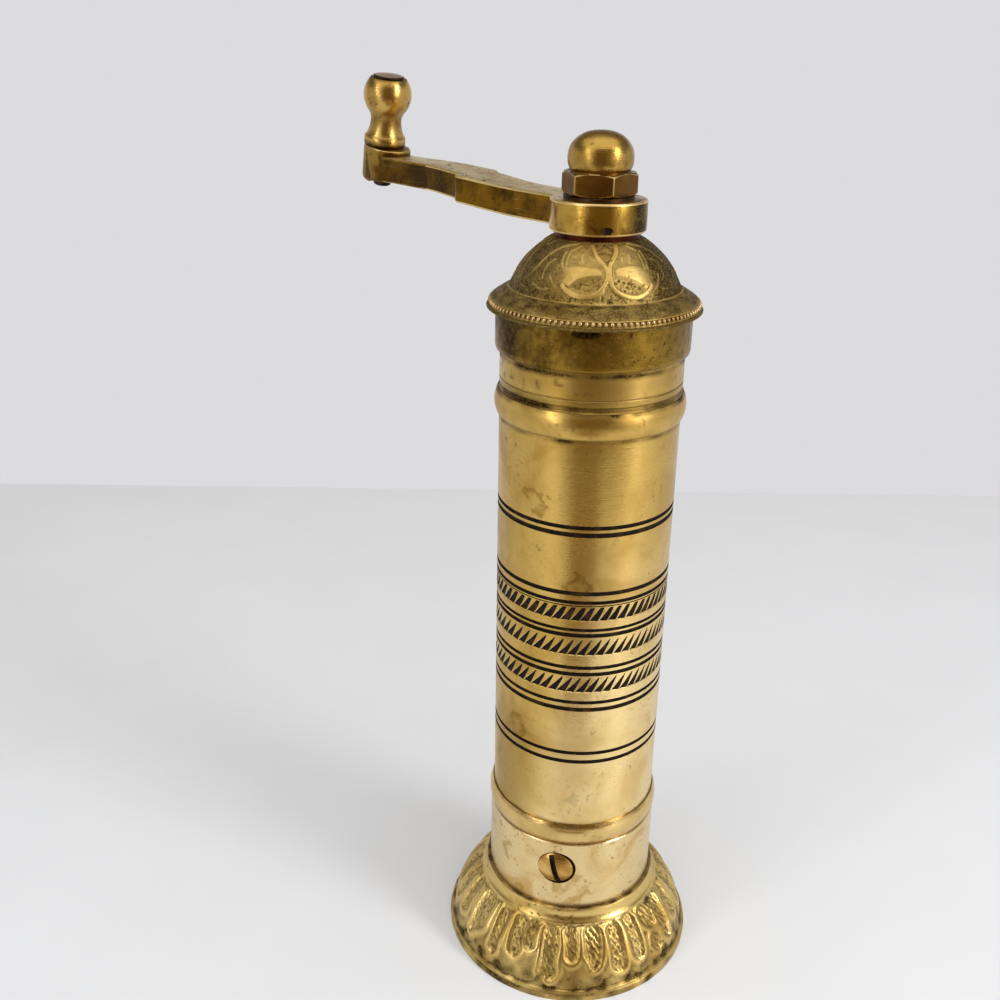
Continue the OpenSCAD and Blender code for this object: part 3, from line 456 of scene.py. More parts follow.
def turned(name, outline, steps=192, closed=True, sweep=360):
    """Draw the outline as a chain of edges and turn it round Z."""
    deselect_all()
    bpy.ops.mesh.primitive_plane_add(size=MM)
    piece = bpy.context.object
    piece.name = piece.data.name = name
    bpy.ops.object.mode_set(mode="EDIT")
    bpy.ops.mesh.merge(type="CENTER")
    points = [Vector((r, 0, z)) * MM for r, z in outline + outline[:1] * closed]
    bpy.ops.transform.translate(value=points[0])
    for here, there in zip(points, points[1:]):
        bpy.ops.mesh.extrude_region_move(TRANSFORM_OT_translate={"value": there - here})
    bpy.ops.mesh.select_all(action="SELECT")
    bpy.ops.mesh.remove_doubles(threshold=MERGE)
    bpy.ops.object.mode_set(mode="OBJECT")
    lathe = piece.modifiers.new("lathe", "SCREW")
    lathe.angle = math.radians(sweep)
    lathe.steps = lathe.render_steps = steps
    lathe.use_merge_vertices, lathe.merge_threshold, lathe.use_smooth_shade = True, MERGE, False
    bpy.ops.object.modifier_apply(modifier="lathe")
    edit_all(piece)
    bpy.ops.mesh.remove_doubles(threshold=MERGE)
    bpy.ops.mesh.normals_make_consistent(inside=False)
    bpy.ops.object.mode_set(mode="OBJECT")
    return piece


print("a quarter circle has", len(arc((1, 0), (0, 1), 1)), "points")

# %% [markdown]
# Relief moves single vertices, and dirt is painted by vertex, as a number from 0 to 1 that the
# finishes read. These helpers read and set all places at once, ease a number from 0 to 1
# between two limits, look up smooth noise at each vertex, and store the result.

# %% Painting helpers
def places(piece):
    """All vertex places as an array, in millimetres."""
    flat = np.empty(len(piece.data.vertices) * 3)
    piece.data.vertices.foreach_get("co", flat)
    return flat.reshape(-1, 3) / MM


def set_places(piece, points):
    piece.data.vertices.foreach_set("co", (points * MM).ravel())
    piece.data.update()


def soft(value, low, high):
    t = np.clip((value - low) / (high - low), 0, 1)
    return t * t * (3 - 2 * t)


def near(value, middle, half):
    return soft(half - np.abs(value - middle), 0, half)


def grain_at(points, size):
    return np.array([noise.noise(Vector(p) / size) for p in points])


def grains(points, *parts):
    """Several sizes of noise added up, each with its share."""
    return sum(grain_at(points, size) * share for size, share in parts)


def bearings(points):
    return np.degrees(np.arctan2(points[:, 1], points[:, 0]))


def from_axis(points):
    return np.hypot(points[:, 0], points[:, 1])


def store(piece, values):
    made = piece.data.attributes.new("hollow", "FLOAT", "POINT")
    made.data.foreach_set("value", np.clip(values, 0, 1).astype(np.float32))


print("a quarter of the way is eased to", round(float(soft(0.25, 0, 1)), 2))

# %% [markdown]
# The tube is the long body of the mill. Six pairs of lines and a fine one are turned into it,
# and three bands of slanting wedges are cut by hand between them. The lines are small hollows
# in the outline, each with its height and half its width. A band has seven rows of faces, and
# four columns for each of its 60 wedges. Between two bands the columns slide from one slant to
# the next, and beyond the outer bands they slide back upright.

# %% Tube outline
BORE_R, TUBE_LOW, TUBE_TOP, GROOVE = 17.7, 37.0, 157.6, 0.28
LINES = {59.8: 0.48, 62.1: 0.44, 73.5: 0.52, 75.3: 0.42, 82.4: 0.48, 84.0: 0.42, 91.9: 0.48, 93.2: 0.37,
         98.9: 0.13, 99.7: 0.42, 101.8: 0.48, 115.1: 0.52, 116.7: 0.44}
BANDS = ((77.9, 81.6), (87.1, 90.9), (95.4, 98.6))
SLIDES = ((63.5, 72.6), (84.5, 87.0), (93.7, 95.3), (102.4, 113.0))
PLAIN = [TUBE_LOW, 42.3, 42.7, 43.4, 46, 50, 54, 57, 77.8, 120, 126, 132, 134, 134.5, 134.9, 135.4, 140.8]
NECK = [(0.3, 141.1), (0.3, 141.8), (0.08, 142.1), (0, 142.3), (0, 143.2), (0.12, 143.35), (0.12, 143.5)]
WEDGES, COLUMNS, BAND_ROWS, SLIDE_ROWS = 60, 4, 7, 6


def spread(low, high, steps):
    return [low + (high - low) * i / steps for i in range(steps + 1)]


outside = [(TUBE_R, z) for z in PLAIN]
for stretches, rows in ((BANDS, BAND_ROWS), (SLIDES, SLIDE_ROWS)):
    for low, high in stretches:
        outside += [(TUBE_R, z) for z in spread(low, high, rows)]
for z, half in LINES.items():
    deep = TUBE_R - min(GROOVE, half * 0.8)
    outside += [(TUBE_R, z - half), (deep, z - half * 0.7), (deep, z + half * 0.7), (TUBE_R, z + half)]
outside.sort(key=lambda point: point[1])
outside += [(TUBE_R - deep, z) for deep, z in NECK] + [(TUBE_R, z) for z in spread(143.7, 149.2, 11)]
outside += [(TUBE_R, TUBE_TOP - 0.3), (TUBE_R - 0.3, TUBE_TOP)]
tube = turned("tube", outside + [(BORE_R, TUBE_TOP), (BORE_R, TUBE_LOW)], WEDGES * COLUMNS)
print("tube outline points:", len(outside))

# %% [markdown]
# The turned columns stand upright, but a wedge leans to the right, thin at its top and wide at
# its foot. So the vertices of a band slide round the tube, each to its wedge's edge, with a
# little hand-made unevenness. Each band has its own lean, width at the tip and width at the
# foot. These functions tell where the columns of a wedge stand, as shares of its width.

# %% Wedge places
LEANS = ((1.6, 0.1, 0.94), (1.62, 0.08, 0.94), (1.2, 0.42, 0.96))
EDGES = np.array([-0.1, 0, 0.18, 1])
EVEN = np.arange(COLUMNS) / COLUMNS
uneven = np.array([[[random.uniform(-1, 1) for _ in range(3)] for _ in range(WEDGES)] for _ in BANDS])


def up_band(z, band):
    low, high = BANDS[band]
    return min(max((z - low) / (high - low), 0), 1)


def in_wedge(band, up, wedge):
    lean, tip, foot_width = LEANS[band]
    slip = uneven[band, wedge]
    left = (up - 0.5) * lean + 0.04 * slip[0] + 0.06
    wide = tip + (foot_width - tip + 0.03 * slip[1]) * (1 - up) ** (0.88 + 0.12 * slip[2])
    return left + wide * EDGES


def at_height(z, wedge):
    """Where the columns of a wedge stand at a height: in a band, held beside it, or on the way."""
    for band in range(len(BANDS)):
        if SLIDES[band][1] <= z <= SLIDES[band + 1][0]:
            return in_wedge(band, up_band(z, band), wedge)
    for slide, (low, high) in enumerate(SLIDES):
        if low <= z <= high:
            first = in_wedge(slide - 1, 1, wedge) if slide else EVEN
            second = in_wedge(slide, 0, wedge) if slide < len(BANDS) else EVEN
            return first + (second - first) * (z - low) / (high - low)
    return EVEN


print("uneven wedges:", uneven.shape[0] * uneven.shape[1])

# %% [markdown]
# A graver cuts a groove that is steep on its left and deepest near there, so the third column of a wedge is
# sunk. The cut is filled with black, and the turned lines are black too. The steep left wall of a wedge
# gets a painted highlight, a bright finish where it would catch the light.

# %% Hatching
BLACK, PAINTED_HIGHLIGHT = 1, 2
points = places(tube)
z, radii = points[:, 2].copy(), from_axis(points)
column = np.round(bearings(points) / 360 * WEDGES * COLUMNS).astype(int) % (WEDGES * COLUMNS)
in_band = np.full(len(points), -1.0)
sliding = (radii > TUBE_R - 0.4) & (z > SLIDES[0][0] + 0.1) & (z < SLIDES[-1][1] - 0.1)
for index in np.where(sliding)[0]:
    wedge, part = divmod(int(column[index]), COLUMNS)
    for band, (low, high) in enumerate(BANDS):
        if low - 0.01 < z[index] < high + 0.01 and radii[index] > TUBE_R - 0.01:
            in_band[index] = up_band(z[index], band)
            radii[index] -= GROOVE * (1 - in_band[index]) ** 0.6 * (part == 2)
    angle = math.tau * (wedge + at_height(round(z[index], 3), wedge)[part]) / WEDGES
    points[index, :2] = radii[index] * math.cos(angle), radii[index] * math.sin(angle)
set_places(tube, points)
give(tube, tube_brass, black_fill_and_shade, rubbed_edge_and_highlight)
for face in tube.data.polygons:
    ids = list(face.vertices)
    parts = {int(column[i]) % COLUMNS for i in ids}
    lowest, highest = in_band[ids].min(), in_band[ids].max()
    in_line = TUBE_R - 0.05 > radii[ids].min() > BORE_R + 0.5 and face.center.z < 0.13
    if (lowest >= 0 and parts in ({1, 2}, {2, 3})) or (highest < 0 and in_line):
        face.material_index = BLACK
    # Painted highlight on the steep left wall of each wedge.
    elif lowest >= 0 and highest < 0.75 and parts == {0, 1}:
        face.material_index = PAINTED_HIGHLIGHT
print("black faces:", sum(f.material_index == BLACK for f in tube.data.polygons))

# %% [markdown]
# Polish and dirt gather where the tube meets the beads: over and under the upper bead and above the lower
# one. Just under the lid's skirt a dark band is painted as the skirt's shade, and low on its left the tube
# is painted a little darker, as painted shade. The groove over the upper bead is nearly black on the left,
# where a cloth never reached. The neck under the lid has a few brown spots.

# %% Tube dirt
UNDER_LID, NECK_MIDDLE, NECK_LINE = 148.3, 146, 143.4
OVER_BEAD, UNDER_BEAD, OVER_LOW_BEAD = 141.5, 135.0, 42.5
turn, z = bearings(points), points[:, 2]
patchy = grain_at(points, 4.0)
joint_dirt_and_shade = near(z, OVER_BEAD, 1.4) * (0.75 + 0.9 * near(turn, -90, 40) + 0.7 * patchy)
joint_dirt_and_shade += near(z, NECK_LINE, 0.4) * 0.6 + near(z, UNDER_BEAD, 0.9) * (0.7 + patchy)
# Painted shade: a dark band on the tube just under the lid's skirt.
joint_dirt_and_shade += near(z, UNDER_LID, 1.1) * (0.85 + 0.5 * near(turn, -15, 40) + 1.4 * patchy)
joint_dirt_and_shade += near(z, OVER_LOW_BEAD, 0.7) * (0.15 + patchy)
joint_dirt_and_shade += near(z, NECK_MIDDLE - 0.2, 3) * soft(grain_at(points, 1.5), 0.3, 0.55) * 0.6
# Painted shade: the tube is a little darker low on its left side.
joint_dirt_and_shade += near(z, NECK_MIDDLE + 0.2, 3.2) * 0.14 + near(turn, -95, 38) * soft(76 - z, 0, 16) * 0.3
store(tube, np.where(radii > TUBE_R - 0.5, joint_dirt_and_shade, 0.6))
smooth(tube, 28)
dress(tube, "body", "tube_brass", "body_tube")

# %% [markdown]
# Two half-round rings sit on the tube: one at its lower end and one near the lid. They are
# turned pieces too, with a small flat at each edge so that they meet the tube in a fine line.
# The upper one has more dirt along its top edge.

# %% Bead rings
BEAD_H, BEAD_RISE, BEAD_SEAT, BEAD_EDGE = 5.4, 0.7, TUBE_R + 0.03, TUBE_R + 0.3
for name, low, node, finish, dirty in (("lower_bead", 37.0, "lower_bead_ring", wiped_brass, 0.1),
                                       ("upper_bead", 135.4, "upper_bead_ring", bead_brass, 0.6)):
    high = low + BEAD_H
    half_round = arc((BEAD_EDGE, low), (BEAD_EDGE, high), bow(BEAD_H / 2, BEAD_RISE), 20)
    bead = turned(name, [(BEAD_SEAT, low)] + half_round + [(BEAD_SEAT, high)])
    points = places(bead)
    from_top, from_foot = high - points[:, 2], points[:, 2] - low
    store(bead, soft(1.1 - from_top, 0, 0.9) * (dirty + grain_at(points, 3.0))
          + soft(0.5 - from_foot, 0, 0.5) * 0.7)
    smooth(bead, 40)
    dress(bead, "body", "tube_brass", node, finish)

# %% [markdown]
# The sleeve is a plain ring between the foot and the tube. Three screws go through it, each in a stepped
# hole for its head and its shank. A hole is cut with a Boolean modifier, as a drill would: a cylinder
# stands across the wall and is taken away. The faces inside a hole are painted black, as the shade in the
# gap round each head. Cutting and settling come back later, so they are helpers.

# %% Sleeve
SLEEVE_R, SLEEVE_LOW, SLEEVE_TOP, SCREW_Z, SCREWS = 19.65, 17.3, 37.0, 30.0, (-53, 67, 187)
HEAD_HOLE, SHANK_HOLE, SHANK_START, DRILL = 4.45, 2.2, 10, 12
SEAT = math.sqrt(SLEEVE_R ** 2 - HEAD_HOLE ** 2) - 0.25


def settle(piece):
    """Move the object's place, turn and scale into its mesh."""
    pick(piece)
    bpy.ops.object.transform_apply(location=True, rotation=True, scale=True)


def carve(piece, tool, operation="DIFFERENCE"):
    """Cut a piece with another one, which is then removed."""
    pick(piece)
    cut = piece.modifiers.new("carve", "BOOLEAN")
    cut.object, cut.operation = tool, operation
    bpy.ops.object.modifier_apply(modifier="carve")
    bpy.data.objects.remove(tool)


sleeve = turned("sleeve", [(SLEEVE_R, z) for z in (SLEEVE_LOW, 18.8, 19.3, 20, 24, 27, 30, 33, 36, 36.8)]
                + [(SLEEVE_R - 0.2, SLEEVE_TOP), (BORE_R, SLEEVE_TOP), (BORE_R, SLEEVE_LOW)])
points = places(sleeve)
store(sleeve, soft(20.0 - points[:, 2], 0, 1.2) * (0.55 + grain_at(points, 5.0)))
for bearing in SCREWS:
    for size, start in ((HEAD_HOLE, SEAT), (SHANK_HOLE, SHANK_START)):
        deselect_all()
        bpy.ops.mesh.primitive_cylinder_add(vertices=48, radius=size * MM, depth=DRILL * MM)
        drill = bpy.context.object
        drill.rotation_euler = around(bearing).to_track_quat("Z", "Y").to_euler()
        drill.location = around(bearing, start + DRILL / 2, SCREW_Z) * MM
        carve(sleeve, drill)
give(sleeve, base_brass, black_fill_and_shade)
for face in sleeve.data.polygons:
    middle = face.center / MM
    to_screw = min((middle - around(bearing, SLEEVE_R, SCREW_Z)).length for bearing in SCREWS)
    face.material_index = int(to_screw < 4.5 and math.hypot(middle.x, middle.y) < SLEEVE_R - 0.06)
smooth(sleeve)
dress(sleeve, "body", "base_brass", "base_sleeve")

# %% [markdown]
# One screw is made upright, and then again for each of the three holes. Its head is a low dome,
# turned like the rings, and the slot is cut across it with a box. Old screws never sit quite
# straight, so the head lies a little to one side of its hole. The three are joined into one
# piece.

# %% Base screws
HEAD_R, HEAD_EDGE, HEAD_RISE, SHANK_R, SHANK_END = 4.05, 0.6, 1.23, 1.7, 8
SLOT_SIZE, SLOT_TURN, OFF_CENTRE = (10, 1.25, 2.2), 15, (0.15, -0.3, 0)
HEAD_TOP = SEAT + HEAD_EDGE + HEAD_RISE


def screw(bearing):
    dome_of_head = arc((HEAD_R, SEAT + HEAD_EDGE), (0, HEAD_TOP), bow(HEAD_R, HEAD_RISE), 14)
    side = [(0, SHANK_END), (SHANK_R, SHANK_END), (SHANK_R, SEAT + 0.03), (4.0, SEAT + 0.03),
            (4.1, SEAT + 0.2), (4.1, SEAT + 0.5)]
    head = turned("screw", side + dome_of_head[1:], 64, closed=False)
    deselect_all()
    bpy.ops.mesh.primitive_cube_add(size=1)
    slot = bpy.context.object
    slot.scale = Vector(SLOT_SIZE) * MM
    slot.rotation_euler.z = math.radians(SLOT_TURN)
    slot.location.z = HEAD_TOP * MM
    carve(head, slot)
    head.location = Vector(OFF_CENTRE) * MM
    settle(head)
    tip_over = Matrix.Rotation(math.radians(90), 4, "Y")
    swing = Matrix.Rotation(math.radians(bearing), 4, "Z")
    head.matrix_world = Matrix.Translation((0, 0, SCREW_Z * MM)) @ swing @ tip_over
    settle(head)
    return head


screws, *others = [screw(bearing) for bearing in SCREWS]
pick(screws, *others)
bpy.ops.object.join()
screws.name = screws.data.name = "sleeve_screws"
give(screws, screw_brass, black_fill_and_shade)
# Painted shade: the floor of each slot is black.
for face in screws.data.polygons:
    out = math.hypot(face.center.x, face.center.y) / MM
    face.material_index = int(SEAT + 0.5 < out < SEAT + 0.85 and face.area > 2 * MM * MM)
smooth(screws)
dress(screws, "body", "base_brass", "base_screws")

# %% [markdown]
# Relief is shaped as on a casting: a stroke is a rounded ridge, and a leaf or a hollow is a
# field with soft edges. Sculpting by hand would give much the same, but distances to strokes
# can be repeated exactly round the piece. These helpers measure them on the surface.

# %% Relief helpers
def along(stroke, gap=0.8):
    """Points along a stroke of (angle, height share), close together."""
    out = []
    for (a, b), (c, d) in zip(stroke, stroke[1:]):
        steps = max(2, int(math.hypot(c - a, (d - b) * 42) / gap))
        out += [(a + (c - a) * i / steps, b + (d - b) * i / steps) for i in range(steps)]
    return np.array(out + [stroke[-1]])


def rounded(stroke, rounds=2):
    """Cut the corners of a stroke, so that a few points give a flowing line."""
    for _ in range(rounds):
        cut = [stroke[0]]
        for (a, b), (c, d) in zip(stroke, stroke[1:]):
            cut += [(a * 0.75 + c * 0.25, b * 0.75 + d * 0.25), (a * 0.25 + c * 0.75, b * 0.25 + d * 0.75)]
        stroke = cut + [stroke[-1]]
    return stroke


def distance(points, others):
    """From each point to the nearest of the others."""
    best = np.full(len(points), 1e9)
    for other in others:
        best = np.minimum(best, ((points - other) ** 2).sum(1))
    return np.sqrt(best)


def inside(x, y, outline):
    """True where a point lies in a closed outline, by counting the edges to its right."""
    odd = np.zeros(len(x), bool)
    for (a, b), (c, d) in zip(outline, outline[1:] + outline[:1]):
        if b != d:
            odd ^= ((b > y) != (d > y)) & (x < (c - a) * (y - b) / (d - b) + a)
    return odd


print("a corner of 3 points is rounded to", len(rounded([(0, 0), (1, 0), (1, 1)])))

# %% [markdown]
# The foot is a cast bell. Its flank carries a row of U-shaped loops with rough hollows inside
# them and between them, above a plain rim. The blank is turned with many rows on the flank. A
# hollow is written as its bearing, how far up the flank it starts and ends, half its width and
# its taper. The maker chased each one by hand, so the front ones are all different. A cusp is
# a bearing at which the dark edge below the loops rises to a point.

# %% Foot blank and hollows
FLANK_LOW, FLANK_HIGH, FLANK_BOW, RIM_R, COVE_R = (29.5, 1.6), (21.58, 15.8), 27.5, 29.84, 20.63
FOOT_TOP, FOOT_SEAT, LIP_R, INNER_TOP = 18.8, 17.3, 19.68, 14.0
flank = arc(FLANK_LOW, FLANK_HIGH, FLANK_BOW, 64)
rim = [(RIM_R, 0), (RIM_R, 1.2), (RIM_R - 0.12, 1.5)]
lip = [(COVE_R, FOOT_TOP - 0.25), (COVE_R - 0.23, FOOT_TOP), (LIP_R, FOOT_TOP), (LIP_R, FOOT_SEAT),
       (BORE_R, FOOT_SEAT), (BORE_R, INNER_TOP)]
foot = turned("foot", rim + flank + arc(FLANK_HIGH, (COVE_R, FOOT_SEAT), -2.2, 8)[1:] + lip
              + arc((19.78, INNER_TOP), (27.7, 0), -FLANK_BOW, 12), 800)
FRONT = [(-97, 6.4, 15.4, 1.4, 0.1), (-83.5, 4.7, 15.0, 0.85, 0.0), (-71.8, 6.4, 15.2, 1.45, 0.2),
         (-64.3, 9.3, 15.5, 0.95, 0.1), (-52.8, 3.7, 15.3, 1.5, -0.1), (-41.2, 7.7, 15.6, 1.4, 0.1),
         (-29.3, 4.6, 15.5, 1.75, 0.85), (-16.6, 4.9, 14.6, 1.5, -0.1), (-4.6, 5.3, 15.7, 1.35, 0.15),
         (8.6, 4.4, 7.6, 1.3, 0.0), (9.5, 8.8, 15.2, 2.9, 0.5)]
hollows, cusps = list(FRONT), [-104, -91, -79, -57, -24.5, -10.5, 2, 14]
BACK_PAIRS, BACK_GAP = 11, 24
for i in range(BACK_PAIRS):
    slip = [random.uniform(-1, 1) for _ in range(6)]
    start = BACK_GAP * i
    if i:
        hollows.append((7 + start + slip[0], 6.0 + 0.5 * slip[1], 15.3, 1.45 + 0.15 * slip[2], 0.1))
    hollows.append((19 + start + slip[3], 4.3 + 0.6 * slip[4], 15.4, 1.4 + 0.15 * slip[5], 0.3))
    cusps += [25 + start + slip[1], 13 + start + slip[4]]
print("foot hollows:", len(hollows))

# %% [markdown]
# For each vertex of the flank, the distance to the nearest hollow tells how high it stands. A
# ridge runs round every hollow, and outside it lies a lower smooth ground. Below that comes a
# dark scalloped edge, and the plain rim ends it. The hollows are roughened with slanting punch
# marks. All of it only sinks below the blank, so the foot stays inside its solid.

# %% Foot relief
FOOT_DEEP, PUNCH_ROWS = 0.62, 26 * 4.4
points = places(foot)
radius = from_axis(points)
flank_line = np.array(flank)
rows = (points[:, 2] > FLANK_LOW[1] + 0.02) & (points[:, 2] < FLANK_HIGH[1] - 0.02)
rows &= radius > np.interp(points[:, 2], flank_line[:, 1], flank_line[:, 0]) - 0.05
mine, out = points[rows], radius[rows]
chord = Vector(FLANK_HIGH) - Vector(FLANK_LOW)
climb = ((out - FLANK_LOW[0]) * chord.x + (mine[:, 2] - FLANK_LOW[1]) * chord.y) / chord.length
to_top, turn = chord.length - climb, bearings(mine)
wander = grain_at(mine, 3.5) * 0.4


def turn_from(middle):
    return (turn - middle + 180) % 360 - 180


to_hollow = np.full(len(mine), 9.0)
for middle, start, end, half, taper in hollows:
    across = np.radians(turn_from(middle)) * out + wander
    own_half = half * (1 - taper * soft(start + 5 - climb, 0, 5)) * (0.6 + 0.4 * out / 26)
    beyond = np.maximum(start + half - climb, 0) + np.maximum(climb - end + half, 0)
    to_hollow = np.minimum(to_hollow, np.hypot(across, beyond * 0.9) - own_half)
from_cusp = np.min([np.abs(turn_from(cusp)) for cusp in cusps], axis=0)
edge = 1.45 + 1.9 * np.exp(-(from_cusp / 2.6) ** 2) + grains(mine, (2.0, 0.45), (0.7, 0.3))
walls, ground = soft(to_hollow, -0.35, 0.95), soft(to_hollow, 1.2, 2.3)
tips = soft(to_top - 0.4 + 0.7 * grain_at(mine, 1.3), 0, 1.4)
raised = np.minimum.reduce([walls * (1 - 0.62 * ground), 0.2 + 0.8 * soft(climb - edge, -0.3, 0.4),
                            0.25 + 0.75 * tips])
raised = np.maximum(raised, soft(0.95 - climb, 0, 0.4))
slant = np.sin(np.radians(turn) * PUNCH_ROWS + climb * 3.0 + grain_at(mine, 1.2) * 3.5)
rough = slant * 0.08 + grains(mine, (0.55, 0.12), (0.28, 0.05))
lift = np.minimum(-(FOOT_DEEP * (1 - raised) + rough * (1 - walls)) * soft(to_top, 0.0, 1.1), 0)
normal = np.stack([mine[:, 0] / out * chord.y, mine[:, 1] / out * chord.y, np.full(len(mine), -chord.x)], 1)
points[rows] += normal / chord.length * lift[:, None]
set_places(foot, points)
print("foot relief down to", round(lift.min(), 2), "mm")

# %% [markdown]
# The dirt is painted from the same numbers. It is black in a few places that a cloth can't
# reach, brown below the scallops and only a shade in the open hollows and on the ground.

# %% Foot dirt
BLACK_SPOTS = ((14, 14, 15.0, 1.5, 1.4), (-64.5, 2.5, 13.6, 2, 1), (-84, 3.5, 5.3, 1.6, 1))
patchy = grain_at(mine, 2.4)
punched = (1 - walls) * (0.2 + 0.3 * patchy + 0.7 * soft(-rough, -0.02, 0.14))
worn_ground = ground * (0.48 + 0.6 * patchy) * soft(climb, 0.7, 1.2)
under = soft(edge - climb, -0.15, 0.25) * soft(climb, 0.6, 0.95) * (0.8 + 1.1 * patchy)
under += soft(1.0 - climb, 0, 0.3) * (0.4 + 0.5 * patchy)
black = sum(near(turn, middle, half) * near(climb, height, tall) * share
            for middle, half, height, tall, share in BLACK_SPOTS)
creases = near(to_hollow, -0.2, 0.35) * (0.3 + 0.9 * patchy) * soft(climb, 2, 4)
creases += near(to_hollow, 2.0, 0.6) * (0.3 + 0.8 * patchy)
dirt = np.zeros(len(points))
dirt[rows] = np.maximum.reduce([punched, under, black * (0.9 + patchy), creases, worn_ground])
z, on_rim = points[:, 2], radius > 28
joint_dirt_and_rim_shade = near(z, FOOT_TOP - 0.05, 0.25) * (radius < COVE_R - 0.03)
# Painted shade: the rim's wall is darker all round, with dirt in the corner above it.
joint_dirt_and_rim_shade += near(z, 1.45, 0.3) * on_rim * 0.6 + soft(1.7 - z, 0, 0.4) * on_rim * 0.75
store(foot, np.maximum(dirt, joint_dirt_and_rim_shade * (0.7 + grain_at(points, 3.0))))
smooth(foot, 60)
dress(foot, "body", "base_brass", "flared_foot", foot_brass)

# %% [markdown]
# The lid has a skirt that slides over the tube. It is a plain turned ring with a bevelled foot.
# It is faintly mottled, and just below the brim a dark crack runs along its front.

# %% Lid collar
SKIRT_R, SKIRT_BORE, SKIRT_LOW, BRIM_LOW = 19.99, 19.07, 149.1, 157.6
bevel = [(SKIRT_BORE, SKIRT_LOW), (19.5, SKIRT_LOW), (19.85, 149.35), (19.95, 149.7)]
collar = turned("lid_skirt", bevel + [(SKIRT_R, z) for z in spread(150.1, 157.1, 14)]
                + [(SKIRT_R, BRIM_LOW), (SKIRT_BORE, BRIM_LOW)], 360)
points = places(collar)
turn, z = bearings(points), points[:, 2]
crack = near(turn, -48.5, 9.5) * near(z + 0.25 * grain_at(points, 1.6), 156.7, 1.0)
mottled = 0.22 + grain_at(points * [1, 1, 0.6], 2.6) * 0.35 + grain_at(points, 0.9) * 0.35
mottled += 0.5 * near(turn, -100, 38) - 0.6 * near(z, 149.8, 0.8)
store(collar, np.maximum(np.minimum(crack * 9, 1), mottled))
smooth(collar, 40)
dress(collar, "lid", "lid_brass", "lid_collar", lid_brass)

# %% [markdown]
# The dome of the lid is embossed with two palmettes. Each has a stem that splits like a Y
# above and curls into two loops below, a smooth leaf over a rough lens on each side, short
# flames above and a wide arch round it. Only one half is drawn, as angle from its middle and
# share of the dome's height, and it is mirrored and repeated.

# %% Palmette strokes
STEM = rounded([(13.5, 0.96), (9.5, 0.77), (6, 0.66), (2, 0.55), (0.3, 0.42), (1.6, 0.29), (6, 0.16),
                (11, 0.09), (17, 0.07), (23.5, 0.1), (28, 0.15), (31.5, 0.225)])
ARCH = rounded([(31, 0.97), (41, 0.91), (50, 0.82), (58, 0.62), (62.5, 0.42), (64.5, 0.26)])
FLAMES = [[(22.5, 0.75), (22, 0.66), (20.5, 0.6)], [(34.5, 0.75), (34.5, 0.6), (33.5, 0.5)],
          [(15, 0.72), (13, 0.66)], [(38.5, 0.78), (39, 0.6), (36, 0.5)],
          [(26, 0.93), (31, 0.86), (34, 0.8)]]
FILLERS = [[(90, 0.95), (84, 0.7), (78, 0.45), (74, 0.2)], [(90, 0.6), (86, 0.35), (90, 0.12)],
           [(68, 0.95), (73, 0.8), (80, 0.95)], [(46, 0.62), (52, 0.5), (50, 0.3)],
           [(44, 0.36), (40, 0.24), (36, 0.18)], [(57, 0.2), (50, 0.12), (42, 0.14)]]
LEAF = rounded([(5, 0.49), (8, 0.535), (13, 0.555), (20, 0.564), (28, 0.56), (36, 0.5), (38, 0.4),
                (36, 0.28), (30, 0.2), (27, 0.18), (25, 0.21), (20, 0.31), (13, 0.364), (7, 0.37),
                (5, 0.357), (4.2, 0.43), (5, 0.49)], 1)
LENS = rounded([(25.5, 0.19), (22, 0.26), (17, 0.32), (11, 0.364), (6, 0.362), (3.4, 0.31), (3.6, 0.25),
                (7, 0.18), (12, 0.143), (19, 0.129), (25.5, 0.19)], 1)
print("strokes for half a palmette:", 2 + len(FLAMES) + len(FILLERS))

# %% [markdown]
# Every vertex of the dome is folded into one half palmette, so one set of distances serves all
# four halves. A little wandering keeps the halves from being exact mirrors. First come the
# turned blank, with the stepped brim under it, and the place of each vertex in its half.

# %% Dome blank
DOME_R, DOME_MID, DOME_LOW, DOME_TOP = 18.5, 155.442, (17.3, 162.0), (8.7, 171.77)
DOME_BORE, DOME_WALL, MOTIFS, FIRST = 4.57, 2.0, 2, -36
brim = [(20.9, BRIM_LOW), (21.6, BRIM_LOW), (21.8, 157.7), (21.84, 157.85), (21.7, 158.0), (21.2, 158.1),
        (20.95, 158.3), (20.95, 159.25), (21.1, 159.4), (20.95, 159.6), (20.3, 160.1), (19.5, 160.62),
        (18.7, 161.1), (18.15, 161.42), (17.9, 161.5), (17.65, 161.62), (17.45, 161.85)]
under_top = DOME_TOP[1] - DOME_WALL
hole = [(DOME_BORE, DOME_TOP[1]), (DOME_BORE, under_top)]
dome = turned("dome", brim + arc(DOME_LOW, DOME_TOP, DOME_R, 84) + hole
              + arc((9.15, under_top), (16.86, BRIM_LOW), -17.0, 12), 720)
points = places(dome)
radius, rise = from_axis(points), points[:, 2] - DOME_MID
on_dome = (np.abs(np.hypot(radius, rise) - DOME_R) < 0.02) & (points[:, 2] > DOME_LOW[1] - 0.01)
mine = points[on_dome]
LOW_TILT, HIGH_TILT = (math.degrees(math.atan2(z - DOME_MID, r)) for r, z in (DOME_LOW, DOME_TOP))
HALF_TURN = 180 / MOTIFS
angle = (bearings(mine) - FIRST + HALF_TURN) % (2 * HALF_TURN) - HALF_TURN + grain_at(mine, 4.5) * 1.8
share = (np.degrees(np.arctan2(rise[on_dome], radius[on_dome])) - LOW_TILT) / (HIGH_TILT - LOW_TILT)
share += grain_at(mine + 40, 4.5) * 0.03
print("dome vertices with relief:", len(mine))

